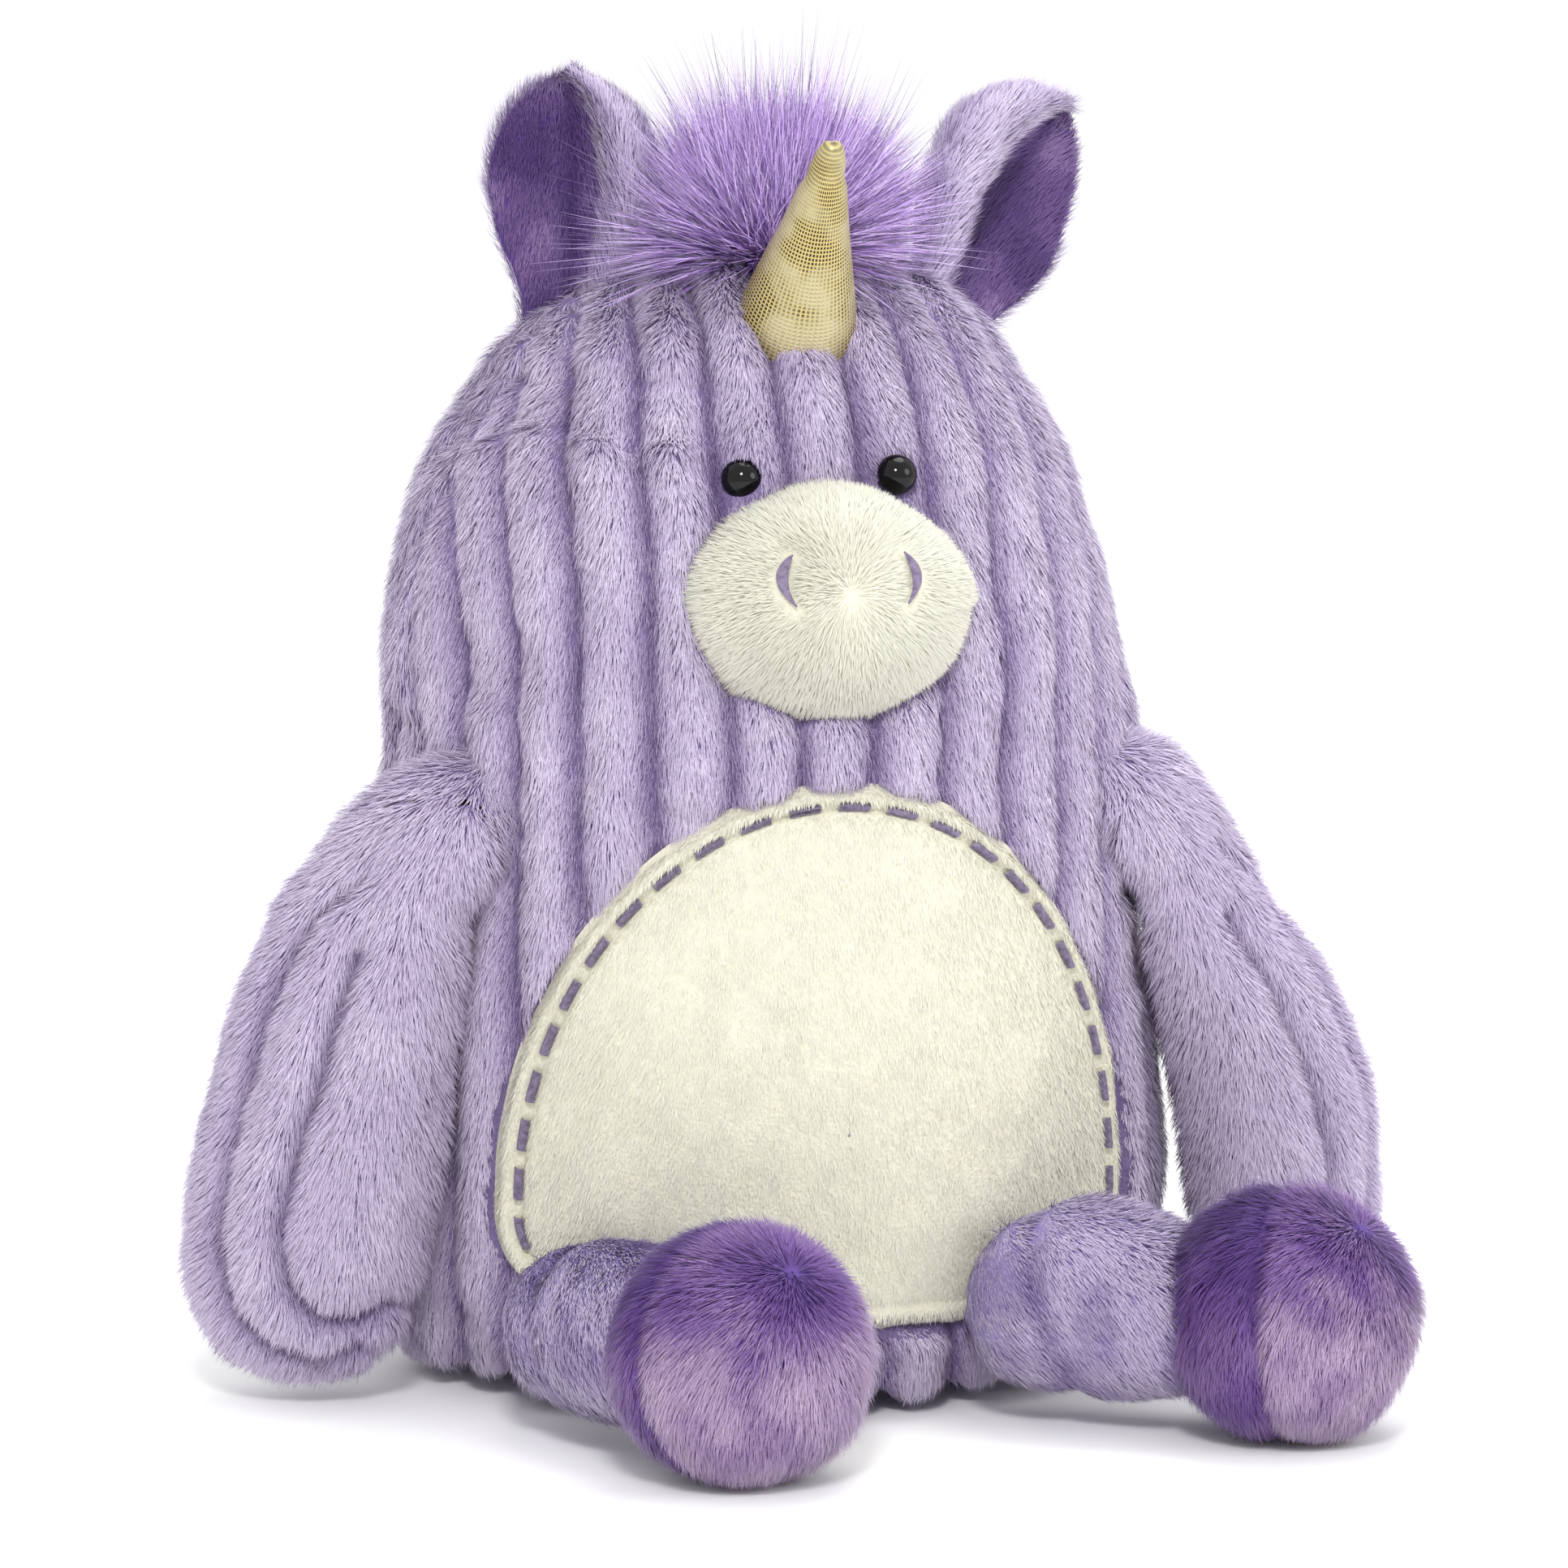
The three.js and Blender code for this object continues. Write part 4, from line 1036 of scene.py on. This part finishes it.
# ---------------------------------------------------------------- legs
def build_legs():
    for name, side in SIDES.items():
        stem = f"{name}_leg"
        turn = turn_z(side * LEG_YAW[name])
        place = np.array(HIP[name], float)
        middle = np.array([0, -LEG_REACH, HOOF_RADIUS - place[2]], float)
        axis = unit(middle)
        up_axis = unit(np.cross([1, 0, 0], axis))
        up_axis *= np.sign(up_axis[2])
        profile = smooth_curve(
            [(0.05, -LEG_ROOT), (LEG_ROOT * 0.6, -LEG_ROOT * 0.8), (LEG_ROOT * 0.95, -LEG_ROOT * 0.25),
             (LEG_RADIUS, LEG_REACH * 0.2), (LEG_RADIUS, LEG_REACH * 0.5), (LEG_ANKLE, LEG_REACH * 0.92)], 60
        )
        spin = around(84)
        r, along = profile[:, :1] + 0 * spin, profile[:, 1:] + 0 * spin
        local = turned(profile, 84, (1, 0, 0), up_axis, axis)
        skin = Skin(local, True)
        skin.face(local[30] - local[30].mean(0), 30)
        creases = bell(along - 36 + 3 * np.sin(2 * spin), 3.0) + bell(along - 4 + 2 * np.sin(spin), 3.0)
        thigh = bell(along - 10, 20) * np.maximum(np.sin(spin), 0)
        height = -1.6 + 0.8 * noise(local, 17, 111 + side) - 1.3 * creases + THIGH[name] * thigh
        skin.push(height * ramp(r, 0, 8))
        skin.points = skin.points @ turn.T + place
        skin.refresh()
        skin.comb_down(turn @ axis * 0.8)
        mottle = noise(local, 9, 113 + side)
        # Painted shade in the creases.
        skin.shade = 0.63 - 0.24 * ramp(mottle, 0.05, 0.8) - 0.25 * creases + 0.08 * noise(local, 4, 114)
        skin.grow = 0.6 + 0.4 * ramp(r, 2, 10)
        add_cloth(stem, skin, "leg", stem, f"{stem}_cover", 0.7, 4.2, length=4.6, width=0.28, rise=0.5,
                  seed=600 + 13 * side, clump=0.16)
        add_fill(stem, local[::5, ::5] @ turn.T + place, skin.flip, 6.0 * ramp(r[::5, ::5], 0, 12), stem)

        pole, spin = np.meshgrid(np.linspace(0.02, np.pi - 0.02, 84), around(120), indexing="ij")
        ball = np.stack([np.sin(pole) * np.cos(spin), -np.cos(pole), np.sin(pole) * np.sin(spin)], -1)
        hoof = Skin(ball * (HOOF_RADIUS - 0.8), True)
        hoof.face(ball[40], 40)
        seam = bell(ball[..., 1] * HOOF_RADIUS, 1.8)
        hoof.push(0.8 * noise(ball * HOOF_RADIUS, 18, 121 + side) - 2.2 * seam)
        hoof.points[..., 2] = np.maximum(hoof.points[..., 2], -HOOF_RADIUS + 1.6)
        hoof.points = (hoof.points + middle) @ turn.T + place
        hoof.refresh()
        parting = unit(np.array([0, -0.62, 0.78]))
        from_part = ball - parting
        flow = unit(from_part - ball * (from_part * ball).sum(-1, keepdims=True))
        weight = ramp(ball @ parting, -0.2, 0.9)[..., None]
        down = ball * ball[..., 2:] - [0, 0, 1]
        hoof.comb = unit((flow * weight + down * (1 - weight)) @ turn.T)
        # The hoof's lower front is painted paler, as the pile's sheen; its top and back keep the pile's dark
        # purple. The seam's groove gets painted shade.
        above_painted_sheen = ramp(ball[..., 2] + 0.10 * noise(ball * HOOF_RADIUS, 9, 123 + side), -0.02, 0.74)
        hoof.shade = 0.55 - 0.37 * above_painted_sheen + 0.12 * noise(ball * HOOF_RADIUS, 7, 124 + side)
        hoof.shade -= np.where(ball[..., 1] > 0.02, 0.32, 0) + 0.3 * seam
        hoof.grow = (1.0 - 0.15 * seam) * ramp(ball[..., 2], -0.99, -0.9)
        for part, keep in (("front", ball[..., 1] <= 0.03), ("back", ball[..., 1] >= -0.03)):
            node = f"{name}_hoof_{part}"
            add_cloth(node, hoof, "hoof", stem, node, 0.85, 4.6, keep, length=7.0,
                      seed=700 + 13 * side + len(part), clump=0.13, stray=0.11)
        core = (ball[::6, ::6] * (HOOF_RADIUS - 7) + middle) @ turn.T + place
        add_fill(f"{name}_hoof", core, hoof.flip, 0, stem)


# ---------------------------------------------------------------- camera, floor and light
VIEW_AZIMUTH, VIEW_ELEVATION, VIEW_DISTANCE = math.radians(-14.5), math.radians(8), 1800
VIEW_WIDTH = 367
VIEW_AIM = (5.0, -1.3, 135)


def build_camera():
    toward = np.array([
        math.sin(VIEW_AZIMUTH) * math.cos(VIEW_ELEVATION), -math.cos(VIEW_AZIMUTH) * math.cos(VIEW_ELEVATION),
        math.sin(VIEW_ELEVATION),
    ])
    data = bpy.data.cameras.new("camera")
    data.sensor_width = 36
    data.lens = 36 * VIEW_DISTANCE / VIEW_WIDTH
    data.clip_start, data.clip_end = 0.05, 50
    camera = bpy.data.objects.new("camera", data)
    bpy.context.scene.collection.objects.link(camera)
    camera.location = Vector(to_row(np.array(VIEW_AIM) + toward * VIEW_DISTANCE)[0])
    camera.rotation_euler = Vector(toward).to_track_quat("Z", "Y").to_euler()
    bpy.context.scene.camera = camera


def build_floor():
    bpy.ops.mesh.primitive_plane_add(size=12, location=(0, 0, -0.0004))
    floor = bpy.context.object
    floor.name = "floor"
    shader = Shader("floor_paper", (250, 250, 250), 0.9)
    shader.colour_between(shader.noise(0.004, 2.0), (253, 253, 253), (254, 254, 254))
    floor.data.materials.append(shader.material)


def add_light(name, place, aim, size, power, tint=(1, 1, 1)):
    data = bpy.data.lights.new(name, "AREA")
    data.shape, data.size, data.energy, data.color = "DISK", size, power, tint
    light = bpy.data.objects.new(name, data)
    bpy.context.scene.collection.objects.link(light)
    light.location = place
    light.rotation_euler = (Vector(place) - Vector(aim)).to_track_quat("Z", "Y").to_euler()


def build_light():
    world = bpy.data.worlds.new("studio")
    world.use_nodes = True
    world.node_tree.nodes["Background"].inputs["Color"].default_value = (1, 1, 1, 1)
    world.node_tree.nodes["Background"].inputs["Strength"].default_value = 1.03
    bpy.context.scene.world = world
    add_light("key", (-0.5, -1.7, 1.5), (0, 0, 0.12), 0.42, 22)
    add_light("fill", (1.5, -1.2, 0.9), (0, 0, 0.12), 1.0, 9)
    add_light("top", (0.4, 0.3, 1.9), (0, 0, 0.15), 1.2, 12)
    bpy.context.scene.view_settings.view_transform = "Standard"


build_camera()
build_floor()
build_light()
build_body()
build_belly()
build_muzzle()
build_eyes()
build_horn()
build_ears()
build_mane()
build_tail()
build_arms()
build_legs()
